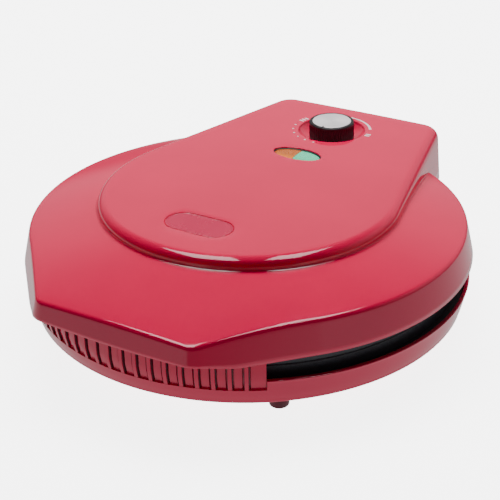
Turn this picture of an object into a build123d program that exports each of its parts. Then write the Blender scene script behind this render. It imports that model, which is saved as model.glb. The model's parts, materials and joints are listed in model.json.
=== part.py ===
from build123d import *
import os
from math import cos, radians, sin, tan

# A round electric pizza maker: a clamshell contact grill with a domed lid hinged at the back.
# Millimetres. +Z is up, -Y is the front. The dimensions below are measured from the point on
# the resting surface under the centre of the round cooking plates. The files are written with
# that point FRAME_SHIFT in front of the origin, which is under the middle of the whole part.

# ---------------------------------------------------------------- clearances
RUN_FIT = 0.05          # radial clearance of a shaft or pin that turns
SLIDE_GAP = 0.3         # gap between parts that move past each other
SEAT_GAP = 0.2          # gap between fixed parts that drop into each other

FRAME_SHIFT = 3.7

# ---------------------------------------------------------------- heights
FOOT_HEIGHT = 9.0
RIM_HEIGHT = 21.0       # base wall, from its underside to its rim
LEDGE_DROP = 4.0        # ledge inside the rim, below the rim
SPLIT_Z = 36.5          # plane where the two cooking plates meet
LID_EDGE_Z = 47.5       # bottom edge of the lid wall
CREASE_Z = 73.0         # top edge of the round lid wall
PLATFORM_RISE = 9.0     # platform edge above the lid where it meets it

# ---------------------------------------------------------------- lid form
LID_OVERHANG = 1.6      # how far the lid wall's bottom edge stands outside the base's rim
LID_DRAFT = 13.0        # degrees that the lid wall leans in
LID_WALL = 2.8
LID_EDGE_ROUND = 4.0
DOME_EDGE = 9.0         # edge of the domed top, in from the wall's bottom edge
DOME_RISE = 20.107      # middle of the domed top above its edge
PROW_OVERHANG = 12.8    # front of the handle lip outside the round wall
PROW_TANGENT = 47.0     # degrees from the front where the lip leaves the circle
PROW_BOW = 3.0          # how far the front of the lip bulges
PROW_CORNER = 20.0
LIP_RISE = 4.9          # how much higher the lip's bottom edge is than the side's
LIP_RISE_START = 26.8   # behind the front of the lip
LIP_RISE_END = 4.8
LIP_RISE_BEND = 22.0

PLATFORM_INSET = 56.5   # platform's edge inside the lid wall's bottom edge
PLATFORM_CENTRE_Y = 4.0
NECK_TAPER = 13.2       # degrees that each side of the neck runs in
NECK_OVERHANG = 19.0    # back of the neck behind the round wall
NECK_CORNER = 17.0
PLATFORM_CROWN = 4000.0
CROWN_CENTRE_Y = 20.0
PLATFORM_ROUND = 4.5

# ---------------------------------------------------------------- base form
BASE_RIM_RADIUS = 172.4
BASE_LEAN = 4.9         # how much narrower the base is at its foot
BASE_FOOT_ROUND = 1.8
BASE_RIM_ROUND = 1.1
BASE_WALL = 2.6
BASE_FLOOR = 2.5
FOOT_RADIUS = 7.2
FOOT_INSET = 11.5       # middle of a foot inside the base's lower edge
FOOT_ANGLE = 38.5       # degrees from the front and from the back
FOOT_STEM = 3.0
FOOT_ROUND = 1.6
FOOT_BARB = 0.8         # how far the barb stands out of the stem
FOOT_BARB_HEIGHT = 1.4
VENT_COLUMNS = 9
VENT_PITCH = 14.0
VENT_WIDTH = 4.0
VENT_NEAR = 30.0        # ends of the floor slots from the middle
VENT_FAR = 70.0
GRILLE_SPAN = 35.0      # degrees each side of the front
GRILLE_SEAT_Z = 21.5
GRILLE_TOP_Z = 46.8
GRILLE_PANEL = 2.0
GRILLE_DEPTH = 3.8      # how far the fins stand out of the panel
FIN_COUNT = 17
FIN_PITCH = 3.8         # degrees
FIN_WIDTH = 2.6

# ---------------------------------------------------------------- cooking plates
PLATE_CLEARANCE = 6.8   # plate's edge to the inside of the base's rim
PLATE_RIM = 13.0        # width of the flat rim around the dish
PLATE_EDGE_CHAMFER = 0.6
PLATE_BACK_STEP = 3.0   # thick part of the plate, wider than the dish
PLATE_DISH_FLARE = 4.0
PLATE_THICKNESS = 3.4
PLATE_FLANGE = 2.8
PLATE_SKIRT = 3.0
LOWER_DISH_DEPTH = 5.4
UPPER_DISH_DEPTH = 4.9
PLATE_BOSS_RADIUS = 5.0
PLATE_BOSS_INSET = 28.0  # screw bosses inside the dish's edge
HEATER_RADIUS = 4.0
HEATER_INSET = 18.0     # heater's centre line inside the screw bosses
HEATER_HOLE_GAP = 0.6   # hole in sheet around the heater's cold ends
HEATER_GAP = 0.4        # heater tube to plate
HEATER_OPENING = 15.0   # degrees between the two ends of the ring
SHIELD_GAP = 4.0        # upper heater to upper shield
TAIL_REACH = 6.5        # lower heater's ends behind the shield
TAIL_RISE = 6.0         # upper heater's ends above the shield
SHIELD_INSET = 7.0      # shield's wall inside the dish's edge
SHIELD_FLANGE_INSET = 5.0  # shield's flange inside the plate's edge
SHEET = 0.8
CLIP_ANGLES = (0, 120, 240)
CLIP_HALF = 4.0
CLIP_REACH = 13.0       # clip foot from the heater's centre line
CLIP_STUD_RADIUS = 1.5
RIB_OFFSET = 5.6        # heater's centre line to the middle of each rib
RIB_HALF = 1.0
REAR_GAP_HALF = 26.0    # room between the ribs for the heater's cold ends

# ---------------------------------------------------------------- inner frames
FRAME_SHIELD_GAP = 3.0  # shield's wall to the frame's bore
FRAME_THICKNESS = 2.5
FRAME_LEG = 2.2
LID_FRAME_SINK = 0.5    # lid's frame above the edge of its wall
LID_POST_RISE = 8.0     # lower ends of the lid's posts above the frame
NECK_FRAME_GAP = 2.0    # frame's back to the inside of the neck
LID_SCREW_INSET = 11.0  # from the lid wall's bottom edge
LID_SCREW_ANGLES = (0, 52, 128, 180, 236, 304)
BASE_SCREW_ANGLES = (0, 32, 148, 180, 212, 328)
SHIELD_SCREW_INSET = 3.8  # from the edge of the shield's flange
SHIELD_SCREW_ANGLES = (15, 165, 195, 345)
PLATE_SCREW_ANGLES = (60, 180, 300)
POST_RADIUS = 4.5
POST_WALL_GAP = 2.4     # posts to the inside of the base's wall
SCREW_WELL_WALL = 1.4   # wall around a screw head's well in the base's floor

# ---------------------------------------------------------------- screws
SCREW_RADIUS = 1.9
SCREW_HEAD_RADIUS = 3.6
SCREW_HEAD_HEIGHT = 1.7
SCREW_SLOT = 1.0
SCREW_SLOT_SPAN = 0.6   # length of the cross slot over the head's width
SCREW_PILOT = 1.9
SCREW_CLEARANCE = 0.35
BASE_SCREW_SINK = 1.0   # base screw heads inside the floor
LID_SCREW_SINK = 0.6    # lid screw heads inside the frame
LID_SCREW_LENGTH = 13.0
PLATE_SCREW_LENGTH = 8.0
SHIELD_SCREW_LENGTH = 6.0

# ---------------------------------------------------------------- hinge
HINGE_OVERHANG = 4.6    # hinge axis behind the base's rim
HINGE_Z = 38.0
HINGE_EAR_RADIUS = 9.0
HINGE_EAR_IN = 38.0
HINGE_EAR_WEB = 6.0
HINGE_EAR_OUT = 56.0
HINGE_SKIN = 3.0
HINGE_PIN_RADIUS = 5.0
HINGE_PIN_BORE = 3.2
HINGE_PIN_REACH = 12.0
HINGE_BARREL_RADIUS = 8.5
TOWER_AHEAD = 27.0      # front of the hinge tower ahead of the hinge axis
TOWER_BEHIND = 1.0      # back of the hinge tower behind the hinge axis
TOWER_SKIN = 2.5
BRACKET_THICKNESS = 3.0
BRACKET_SIDE_GAP = 3.0  # bracket's web to the hinge ears
BRACKET_WEB_HALF = 4.0
BRACKET_SCREW_HALF = 26.0
BRACKET_SCREW_EDGE = 6.0
TOWER_TOP_GAP = 0.6     # tower's top under the hinge barrel
EAR_SKIN = 2.0

# ---------------------------------------------------------------- control knob
KNOB_AHEAD = 38.0       # knob's axis ahead of the hinge axis
KNOB_RADIUS = 19.0
KNOB_HEIGHT = 12.4
KNOB_GAP = 0.5          # knob above the dish floor
KNOB_WALL = 3.5
KNOB_SPRING = 0.8
KNOB_RIBS = 54
KNOB_RIB_DEPTH = 0.7
KNOB_CHAMFER = 1.0
KNOB_CAP_RADIUS = 16.3
KNOB_CAP_THICKNESS = 0.9
KNOB_BORE_DEPTH = 8.5
KNOB_MARK_WIDTH = 2.0
DISH_RADIUS = 28.0
DISH_FLOOR_RADIUS = 21.5
DISH_DEPTH = 4.0
DISH_STEP = 1.0         # upright step at the dish's rim
DISH_SKIN = 2.6
SHAFT_RADIUS = 3.0
SHAFT_BUSH_RADIUS = 5.0

# ---------------------------------------------------------------- thermostat
THERMOSTAT_LENGTH = 34.0
THERMOSTAT_WIDTH = 24.0
THERMOSTAT_HEIGHT = 15.0
THERMOSTAT_DROP = 9.0   # thermostat top below the dish floor
BRACKET_SHEET = 1.2
BRACKET_SCREW_X = 24.0
STRAP_SCREW_X = 11.5
STRAP_SCREW_LENGTH = 5.0
STRAP_HALF = 6.0
STRAP_DROP = 4.2        # posts under the dish
SHAFT_SINK = 7.0        # shaft bore into the thermostat

# ---------------------------------------------------------------- indicator lamps
LENS_AHEAD = 60.5       # lens ahead of the knob's axis
LENS_HALF_LENGTH = 21.0
LENS_HALF_WIDTH = 10.6
LENS_LIP = 2.0
LENS_LIP_THICKNESS = 1.4
LENS_RECESS = 0.5
LENS_SEAT = 0.4         # lens lip below the inside of the lid
LAMP_RADIUS = 2.6
LAMP_LENGTH = 13.0
LAMP_SOCKET = 5.0
LAMP_SPACING = 20.0
HOLDER_DEPTH = 15.0
HOLDER_WALL = 1.6

# ---------------------------------------------------------------- badge
BADGE_INSET = 44.5      # badge's middle behind the platform's front edge
BADGE_LENGTH = 58.0
BADGE_WIDTH = 27.0
BADGE_THICKNESS = 0.6
BADGE_SINK = 0.9

# ---------------------------------------------------------------- wiring
LEAD_RADIUS = 1.4
CABLE_RADIUS = 2.2
CABLE_BEND = 4.9
TERMINAL_LENGTH = 34.0
TERMINAL_WIDTH = 11.0
TERMINAL_HEIGHT = 7.6
TERMINAL_POLES = 3
TERMINAL_SHEET = 0.8
TERMINAL_SETBACK = 10.0  # behind the front of the hinge tower
TERMINAL_WELL = 2.2     # screw wells
TERMINAL_BORE = 1.7     # wire bores
BLADE_HALF = 3.1
BLADE_UP = 9.0          # upper heater's blades
BLADE_BACK = 5.0        # lower heater's blades
FUSE_LENGTH = 16.0
FUSE_RADIUS = 2.6
FUSE_X = -8.0
FUSE_SETBACK = 13.0     # behind the front of the hinge tower
FUSE_LIFT = 7.6         # above the floor
TERMINAL_X = 36.0
CABLE_TURN_X = 8.0      # where the cable leaves the hinge axis
GLAND_ANGLE = 58.0      # degrees from +X
GLAND_RADIUS = 5.6
GLAND_BORE = 3.8
GLAND_FLANGE = 7.8
GLAND_FLANGE_THICKNESS = 2.4
GLAND_LENGTH = 12.0

# ---------------------------------------------------------------- derived radii and places
BASE_FOOT_RADIUS = BASE_RIM_RADIUS - BASE_LEAN
LID_RADIUS = BASE_RIM_RADIUS + LID_OVERHANG
PROW_REACH = LID_RADIUS + PROW_OVERHANG
DOME_RADIUS = (LID_RADIUS - DOME_EDGE) ** 2 / (2 * DOME_RISE)
PLATFORM_RADIUS = LID_RADIUS - PLATFORM_INSET
NECK_BACK_Y = LID_RADIUS + NECK_OVERHANG
FOOT_CIRCLE = BASE_FOOT_RADIUS - FOOT_INSET
PLATE_RADIUS = BASE_RIM_RADIUS - BASE_WALL - PLATE_CLEARANCE
PLATE_DISH_RADIUS = PLATE_RADIUS - PLATE_RIM
PLATE_BOSS_CIRCLE = PLATE_DISH_RADIUS - PLATE_BOSS_INSET
HEATER_CIRCLE = PLATE_BOSS_CIRCLE - HEATER_INSET
SHIELD_RADIUS = PLATE_DISH_RADIUS - SHIELD_INSET
SHIELD_FLANGE_RADIUS = PLATE_RADIUS - SHIELD_FLANGE_INSET
FRAME_BORE = SHIELD_RADIUS + FRAME_SHIELD_GAP
LID_SCREW_CIRCLE = LID_RADIUS - LID_SCREW_INSET
SHIELD_SCREW_CIRCLE = SHIELD_FLANGE_RADIUS - SHIELD_SCREW_INSET
HINGE_Y = BASE_RIM_RADIUS + HINGE_OVERHANG
TOWER_FRONT_Y = HINGE_Y - TOWER_AHEAD
TOWER_BACK_Y = HINGE_Y + TOWER_BEHIND
KNOB_Y = HINGE_Y - KNOB_AHEAD
LENS_Y = KNOB_Y - LENS_AHEAD
BADGE_Y = PLATFORM_CENTRE_Y - PLATFORM_RADIUS + BADGE_INSET

# ---------------------------------------------------------------- derived levels
FLOOR_Z = FOOT_HEIGHT
FLOOR_TOP_Z = FLOOR_Z + BASE_FLOOR
RIM_Z = FLOOR_Z + RIM_HEIGHT
LEDGE_Z = RIM_Z - LEDGE_DROP
PLATE_FACE_GAP = SLIDE_GAP / 2
LOWER_RIM_Z = SPLIT_Z - PLATE_FACE_GAP
UPPER_RIM_Z = SPLIT_Z + PLATE_FACE_GAP
LOWER_DISH_Z = LOWER_RIM_Z - LOWER_DISH_DEPTH
UPPER_DISH_Z = UPPER_RIM_Z + UPPER_DISH_DEPTH
LOWER_BACK_Z = LOWER_DISH_Z - PLATE_THICKNESS
UPPER_BACK_Z = UPPER_DISH_Z + PLATE_THICKNESS
LOWER_HEATER_Z = LOWER_BACK_Z - HEATER_GAP - HEATER_RADIUS
UPPER_HEATER_Z = UPPER_BACK_Z + HEATER_GAP + HEATER_RADIUS
LOWER_SHIELD_Z = FLOOR_TOP_Z + SCREW_HEAD_HEIGHT + SEAT_GAP
LID_FRAME_Z = LID_EDGE_Z + LID_FRAME_SINK
LID_FRAME_TOP_Z = LID_FRAME_Z + FRAME_THICKNESS
UPPER_SHIELD_Z = UPPER_HEATER_Z + HEATER_RADIUS + SHIELD_GAP
BASE_FRAME_Z = LEDGE_Z - FRAME_THICKNESS
SCREW_PAD_Z = FLOOR_TOP_Z + BASE_FLOOR
DOME_APEX_Z = CREASE_Z + DOME_RISE
PLATFORM_EDGE_Z = DOME_APEX_Z - PLATFORM_RADIUS ** 2 / (2 * DOME_RADIUS) + PLATFORM_RISE
CROWN_REACH = PLATFORM_RADIUS - PLATFORM_CENTRE_Y + CROWN_CENTRE_Y
CROWN_APEX_Z = PLATFORM_EDGE_Z + CROWN_REACH ** 2 / (2 * PLATFORM_CROWN)


def crown_z(x, y):
    """Height of the platform's top face over a point."""
    return CROWN_APEX_Z - (x * x + (y - CROWN_CENTRE_Y) ** 2) / (2 * PLATFORM_CROWN)


DISH_FLOOR_Z = crown_z(0, KNOB_Y) - DISH_DEPTH
THERMOSTAT_TOP_Z = DISH_FLOOR_Z - DISH_SKIN - THERMOSTAT_DROP
LID_POST_Z = LID_FRAME_TOP_Z + LID_POST_RISE
BIG = 2 * LID_RADIUS
STRAP_TOP_Z = DISH_FLOOR_Z - DISH_SKIN - STRAP_DROP
KNOB_Z = DISH_FLOOR_Z + KNOB_GAP
LID_SCREW_SEAT_Z = LID_FRAME_Z + SCREW_HEAD_HEIGHT + LID_SCREW_SINK
FRAME_BACK_Y = NECK_BACK_Y - LID_WALL - NECK_FRAME_GAP
BRACKET_Z = LID_FRAME_Z - BRACKET_THICKNESS
BRACKET_HALF = HINGE_EAR_IN - BRACKET_SIDE_GAP
LOWER_TAIL_Y = SHIELD_RADIUS + TAIL_REACH
UPPER_TAIL_Z = UPPER_SHIELD_Z + TAIL_RISE
TOWER_TOP_Z = HINGE_Z - HINGE_EAR_RADIUS - TOWER_TOP_GAP
EAR_HOLLOW_Y = HINGE_Y - HINGE_EAR_RADIUS + EAR_SKIN
BASE_SCREW_CIRCLE = BASE_FOOT_RADIUS - BASE_WALL - POST_RADIUS - POST_WALL_GAP
SCREW_SEAT_Z = FLOOR_Z + SCREW_HEAD_HEIGHT + BASE_SCREW_SINK
GLAND_Z = (FLOOR_TOP_Z + BASE_FRAME_Z) / 2
TERMINAL_Y = TOWER_FRONT_Y + TERMINAL_SETBACK
FUSE_Y = TOWER_FRONT_Y + FUSE_SETBACK
FUSE_Z = FLOOR_TOP_Z + FUSE_LIFT


def wall_radius(z):
    """Outer radius of the base wall at a height."""
    return BASE_FOOT_RADIUS + (BASE_RIM_RADIUS - BASE_FOOT_RADIUS) * (z - FLOOR_Z) / RIM_HEIGHT


GRILLE_OUTER = wall_radius(GRILLE_SEAT_Z)
GRILLE_FACE = GRILLE_OUTER - GRILLE_DEPTH
GRILLE_INNER = GRILLE_FACE - GRILLE_PANEL


# ================================================================ helpers
def at(x, y, z):
    return Location((x, y, z))


def rod(x, y, z_low, z_high, radius):
    """Vertical cylinder between two heights."""
    return at(x, y, z_low) * Cylinder(radius, z_high - z_low, align=(Align.CENTER, Align.CENTER, Align.MIN))


def bar(x_low, x_high, y, z, radius):
    """Cylinder along X between two places."""
    upright = Cylinder(radius, x_high - x_low, align=(Align.CENTER, Align.CENTER, Align.MIN))
    return at(x_low, y, z) * (Rotation(0, 90, 0) * upright)


def block(x_low, x_high, y_low, y_high, z_low, z_high):
    """Box between two corners."""
    middle = at((x_low + x_high) / 2, (y_low + y_high) / 2, (z_low + z_high) / 2)
    return middle * Box(x_high - x_low, y_high - y_low, z_high - z_low)


def polar(radius, angle):
    """Point at an angle from +X."""
    return radius * cos(radians(angle)), radius * sin(radians(angle))


def facing_up(face):
    """The same flat face with its normal along +Z."""
    return face if face.normal_at().Z > 0 else -face


def flat(curves):
    """Flat face bounded by curves in the ground plane."""
    return facing_up(make_face(curves).face())


def turned(points):
    """Solid of revolution about Z from (radius, height) points."""
    return revolve(Plane.XZ * flat(Polyline(*points, close=True)), axis=Axis.Z)


def ring(r_low, r_high, z_low, z_high):
    return turned([(r_low, z_low), (r_high, z_low), (r_high, z_high), (r_low, z_high)])


def sector(span, radius, z_low, z_high):
    """Wedge about the front, span degrees to each side."""
    left, right = polar(radius, -90 - span), polar(radius, -90 + span)
    edge = ThreePointArc(left, (0, -radius), right)
    face = flat([Line((0, 0), left), edge, Line(right, (0, 0))])
    return at(0, 0, z_low) * extrude(face, z_high - z_low)


def screw(x, y, z_face, length, up=1):
    """Pan-head screw whose head bears on z_face and whose shank runs up or down."""
    shank = rod(x, y, min(z_face, z_face + up * length), max(z_face, z_face + up * length), SCREW_RADIUS)
    head_far = z_face - up * SCREW_HEAD_HEIGHT
    head = rod(x, y, min(z_face, head_far), max(z_face, head_far), SCREW_HEAD_RADIUS)
    slot_deep = head_far + up * SCREW_HEAD_HEIGHT / 2
    slot = block(x - SCREW_HEAD_RADIUS, x + SCREW_HEAD_RADIUS, y - SCREW_SLOT / 2, y + SCREW_SLOT / 2,
                 min(head_far, slot_deep), max(head_far, slot_deep))
    cross = block(x - SCREW_SLOT / 2, x + SCREW_SLOT / 2, y - SCREW_HEAD_RADIUS, y + SCREW_HEAD_RADIUS,
                  min(head_far, slot_deep), max(head_far, slot_deep))
    inner = rod(x, y, min(z_face, head_far), max(z_face, head_far), SCREW_HEAD_RADIUS * SCREW_SLOT_SPAN)
    return shank + head - (slot & inner) - (cross & inner)


def group(solids):
    """Separate solids kept together in one node."""
    return Compound(children=[solid for part in solids for solid in part.solids()])


def lead(points, radius, bends):
    """Round lead along straight runs joined by arcs."""
    path = FilletPolyline(*points, radius=bends)
    start = Plane(origin=path @ 0, z_dir=path % 0)
    return sweep(start * Circle(radius), path=path)


# ================================================================ lid
def lid_outline(shrink):
    """Outline of the lid wall at the level of its bottom edge, moved in by shrink."""
    radius = LID_RADIUS - shrink
    reach = PROW_REACH - shrink
    lean = radians(PROW_TANGENT)
    front = reach - PROW_BOW
    corner_x = (radius - front * cos(lean)) / sin(lean)
    touch_x, touch_y = radius * sin(lean), -radius * cos(lean)
    right = Line((touch_x, touch_y), (corner_x, -front))
    bow = ThreePointArc((corner_x, -front), (0, -reach), (-corner_x, -front))
    left = Line((-corner_x, -front), (-touch_x, touch_y))
    back = ThreePointArc((-touch_x, touch_y), (0, radius), (touch_x, touch_y))
    face = flat([right, bow, left, back])
    corners = [v for v in face.vertices() if v.Y < -front + PROW_BOW / 2]
    return facing_up(fillet(corners, PROW_CORNER - shrink).face())


def platform_outline(shrink):
    """Round platform with the neck that runs back over the hinge, moved in by shrink."""
    radius = PLATFORM_RADIUS - shrink
    back = NECK_BACK_Y - shrink
    lean = radians(NECK_TAPER)
    touch_x = radius * cos(lean)
    touch_y = PLATFORM_CENTRE_Y + radius * sin(lean)
    back_x = touch_x - (back - touch_y) * tan(lean)
    front = ThreePointArc((-touch_x, touch_y), (0, PLATFORM_CENTRE_Y - radius), (touch_x, touch_y))
    right = Line((touch_x, touch_y), (back_x, back))
    rear = Line((back_x, back), (-back_x, back))
    left = Line((-back_x, back), (-touch_x, touch_y))
    face = flat([front, right, rear, left])
    corners = [v for v in face.vertices() if v.Y > back - 1]
    return facing_up(fillet(corners, NECK_CORNER - shrink).face())


def dome(drop):
    """Everything under the lid's domed top, lowered by drop."""
    return at(0, 0, DOME_APEX_Z - drop - DOME_RADIUS) * Sphere(DOME_RADIUS)


def crown(drop):
    """Everything under the platform's crowned top, lowered by drop."""
    return at(0, CROWN_CENTRE_Y, CROWN_APEX_Z - drop - PLATFORM_CROWN) * Sphere(PLATFORM_CROWN)


def lid_form(shrink, edge_round, platform_round):
    """Solid form of the lid: outside with shrink 0, inside with shrink of one wall."""
    high = DOME_APEX_Z - LID_EDGE_Z + 1
    lean_in = high * tan(radians(LID_DRAFT))
    top_face = at(0, 0, LID_EDGE_Z + high) * lid_outline(shrink + lean_in)
    wall = loft([at(0, 0, LID_EDGE_Z) * lid_outline(shrink), top_face], ruled=True)
    body = wall & dome(shrink)
    rim = body.faces().sort_by(Axis.Z)[-1].edges()
    body = fillet(rim, edge_round)
    tall = at(0, 0, LID_EDGE_Z) * extrude(platform_outline(shrink), CROWN_APEX_Z - LID_EDGE_Z)
    tall = tall & crown(shrink)
    top_edges = tall.faces().sort_by(Axis.Z)[-1].edges()
    tall = fillet(top_edges, platform_round)
    return body, tall


def lid_cut():
    """Space under the lid's bottom edge, which sweeps up along the handle lip."""
    low = LID_EDGE_Z - 20
    far = -PROW_REACH - 20
    lip_z = LID_EDGE_Z + LIP_RISE
    bend_points = [(LIP_RISE_END - PROW_REACH, lip_z), (LIP_RISE_START - PROW_REACH, LID_EDGE_Z)]
    points = [(far, low), (far, lip_z), *bend_points, (0, LID_EDGE_Z), (0, low)]
    profile = flat(Polyline(*points, close=True))
    bends = [v for v in profile.vertices() if v.Y > low + 1 and far + 1 < v.X < -1]
    profile = facing_up(fillet(bends, LIP_RISE_BEND).face())
    return extrude(Plane.YZ * profile, LID_RADIUS, both=True)


def lens_shape(grow):
    return Pos(0, LENS_Y) * Ellipse(LENS_HALF_LENGTH + grow, LENS_HALF_WIDTH + grow)


def badge_shape(grow):
    return Pos(0, BADGE_Y) * SlotOverall(BADGE_LENGTH + 2 * grow, BADGE_WIDTH + 2 * grow)


def knob_dish():
    """Shallow dish around the knob: a cone with a small step at its rim."""
    cone_height = DISH_DEPTH - DISH_STEP
    cone = Cone(DISH_FLOOR_RADIUS, DISH_RADIUS, cone_height, align=(Align.CENTER, Align.CENTER, Align.MIN))
    cone_top = DISH_FLOOR_Z + cone_height
    return at(0, KNOB_Y, DISH_FLOOR_Z) * cone + rod(0, KNOB_Y, cone_top, cone_top + DISH_DEPTH, DISH_RADIUS)


def lid_screw_places():
    return [polar(LID_SCREW_CIRCLE, angle) for angle in LID_SCREW_ANGLES]


def lid_shell():
    """Moulded cover with its handle lip, the platform and the neck over the hinge."""
    body, tall = lid_form(0, LID_EDGE_ROUND, PLATFORM_ROUND)
    tall -= knob_dish()
    tall -= at(0, 0, crown_z(0, LENS_Y) - 2 * LID_WALL) * extrude(lens_shape(SEAT_GAP), 4 * LID_WALL)
    tall -= at(0, 0, crown_z(0, BADGE_Y) - BADGE_SINK) * extrude(badge_shape(SEAT_GAP), 5)
    inner_body, inner_tall = lid_form(LID_WALL, LID_EDGE_ROUND - LID_WALL, PLATFORM_ROUND - LID_WALL)
    inner = inner_body + inner_tall
    inner -= rod(0, KNOB_Y, DISH_FLOOR_Z - DISH_SKIN, 2 * CROWN_APEX_Z, DISH_RADIUS + DISH_SKIN)
    for x, y in lid_screw_places():
        inner -= rod(x, y, LID_POST_Z, CREASE_Z + POST_RADIUS, POST_RADIUS)
    for side in (-1, 1):
        inner -= rod(side * BRACKET_SCREW_X, KNOB_Y, STRAP_TOP_Z, DISH_FLOOR_Z - DISH_SKIN / 2, POST_RADIUS)
    shell = body + tall - inner - lid_cut()
    shell -= rod(0, KNOB_Y, DISH_FLOOR_Z - 2 * DISH_SKIN, DISH_FLOOR_Z + 1, SHAFT_RADIUS + 1)
    for x, y in lid_screw_places():
        shell -= rod(x, y, LID_POST_Z - 1, LID_POST_Z + 7, SCREW_PILOT)
    for side in (-1, 1):
        shell -= rod(side * BRACKET_SCREW_X, KNOB_Y, STRAP_TOP_Z - 1, STRAP_TOP_Z + STRAP_DROP, SCREW_PILOT)
    return shell


# ================================================================ cooking plates and heaters
def cooking_plate(rim_z, dish_z, back_z, skirt_z, up):
    """Cast plate with a shallow dish; up is +1 for the lower plate and -1 for the upper."""
    flange_z = rim_z - up * PLATE_FLANGE
    bevel = PLATE_EDGE_CHAMFER
    face = [(0, dish_z), (PLATE_DISH_RADIUS - PLATE_DISH_FLARE, dish_z), (PLATE_DISH_RADIUS, rim_z)]
    edge = [(PLATE_RADIUS - bevel, rim_z), (PLATE_RADIUS, rim_z - up * bevel), (PLATE_RADIUS, skirt_z)]
    skirt = [(PLATE_RADIUS - PLATE_SKIRT, skirt_z), (PLATE_RADIUS - PLATE_SKIRT, flange_z)]
    back = [(PLATE_DISH_RADIUS + PLATE_BACK_STEP, flange_z), (PLATE_DISH_RADIUS, back_z), (0, back_z)]
    points = face + edge + skirt + back
    plate = turned(points)
    low, high = sorted((back_z - up * HEATER_RADIUS, back_z))
    for side in (-1, 1):
        centre = HEATER_CIRCLE + side * RIB_OFFSET
        plate += ring(centre - RIB_HALF, centre + RIB_HALF, low, high) - rear_gap(low - 1, high + 1)
    low, high = sorted((back_z - up * 2 * SHEET, back_z))
    for x, y in clip_studs():
        plate += rod(x, y, low, high, CLIP_STUD_RADIUS)
    return plate


def clip_studs():
    """Places of the studs that the feet of the heater clips are staked on."""
    offset = CLIP_REACH - CLIP_HALF / 2 - SHEET
    return [polar(HEATER_CIRCLE + side * offset, angle) for angle in CLIP_ANGLES for side in (-1, 1)]


def rear_gap(z_low, z_high):
    """Room at the back for the heater's cold ends."""
    return block(-REAR_GAP_HALF, REAR_GAP_HALF, 0, BIG, z_low, z_high)


def plate_bosses(back_z, far_z):
    bosses = []
    for angle in PLATE_SCREW_ANGLES:
        x, y = polar(PLATE_BOSS_CIRCLE, angle)
        bosses.append(rod(x, y, min(back_z, far_z), max(back_z, far_z), PLATE_BOSS_RADIUS))
    return bosses


def pilot_holes(circle, angles, z_low, z_high, radius):
    holes = []
    for angle in angles:
        x, y = polar(circle, angle)
        holes.append(rod(x, y, z_low, z_high, radius))
    return holes


def lower_cooking_plate():
    skirt_z = LEDGE_Z + SEAT_GAP
    plate = cooking_plate(LOWER_RIM_Z, LOWER_DISH_Z, LOWER_BACK_Z, skirt_z, 1)
    plate += plate_bosses(LOWER_BACK_Z, LOWER_SHIELD_Z + SHEET)
    return plate - pilot_holes(PLATE_BOSS_CIRCLE, PLATE_SCREW_ANGLES, 0, LOWER_BACK_Z - 1, SCREW_PILOT)


def upper_cooking_plate():
    skirt_z = LID_FRAME_Z - SEAT_GAP
    plate = cooking_plate(UPPER_RIM_Z, UPPER_DISH_Z, UPPER_BACK_Z, skirt_z, -1)
    plate += plate_bosses(UPPER_BACK_Z, UPPER_SHIELD_Z)
    return plate - pilot_holes(PLATE_BOSS_CIRCLE, PLATE_SCREW_ANGLES, UPPER_BACK_Z + 1, BIG, SCREW_PILOT)


def heater_ring(z):
    """Tubular heater bent to an open ring."""
    path = CenterArc((0, 0, z), HEATER_CIRCLE, 90 + HEATER_OPENING / 2, 360 - HEATER_OPENING)
    face = Plane(origin=path @ 0, z_dir=path % 0) * Circle(HEATER_RADIUS)
    return sweep(face, path=path)


def heater_ends():
    """Plan positions of the two ends of the heater ring."""
    return [polar(HEATER_CIRCLE, 90 + side * HEATER_OPENING / 2) for side in (1, -1)]


def lower_heating_element():
    """Ring with straight ends that run out at the back, through the shield."""
    heater = heater_ring(LOWER_HEATER_Z)
    for x, y in heater_ends():
        heater += at(x, y, LOWER_HEATER_Z) * Sphere(HEATER_RADIUS)
        tail = Rotation(-90, 0, 0) * Cylinder(HEATER_RADIUS, LOWER_TAIL_Y - y,
                                              align=(Align.CENTER, Align.CENTER, Align.MIN))
        heater += at(x, y, LOWER_HEATER_Z) * tail
    return heater


def upper_heating_element():
    """Ring with ends that rise through the shield."""
    heater = heater_ring(UPPER_HEATER_Z)
    for x, y in heater_ends():
        heater += at(x, y, UPPER_HEATER_Z) * Sphere(HEATER_RADIUS)
        heater += rod(x, y, UPPER_HEATER_Z, UPPER_TAIL_Z, HEATER_RADIUS)
    return heater


def heater_clips(z, back_z, up):
    """Saddle straps that hold the heater against the plate."""
    leg = RIB_OFFSET + RIB_HALF + SEAT_GAP
    crest = z - up * (HEATER_RADIUS + SEAT_GAP / 2)
    far = crest - up * SHEET
    foot = back_z - up * SHEET
    clip = block(-CLIP_HALF, CLIP_HALF, -leg - SHEET, leg + SHEET, min(crest, far), max(crest, far))
    for side in (-1, 1):
        near, out, end = side * leg, side * (leg + SHEET), side * CLIP_REACH
        clip += block(-CLIP_HALF, CLIP_HALF, *sorted((near, out)), *sorted((far, back_z)))
        clip += block(-CLIP_HALF, CLIP_HALF, *sorted((near, end)), *sorted((foot, back_z)))
    clips = []
    for angle in CLIP_ANGLES:
        x, y = polar(HEATER_CIRCLE, angle)
        clips.append(at(x, y, 0) * (Rotation(0, 0, angle - 90) * clip))
    low, high = sorted((far, back_z))
    holes = [rod(x, y, low - 1, high + 1, CLIP_STUD_RADIUS + RUN_FIT) for x, y in clip_studs()]
    return group([clip - holes for clip in clips])


def lower_heater_clips():
    return heater_clips(LOWER_HEATER_Z, LOWER_BACK_Z, 1)


def upper_heater_clips():
    return heater_clips(UPPER_HEATER_Z, UPPER_BACK_Z, -1)


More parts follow.
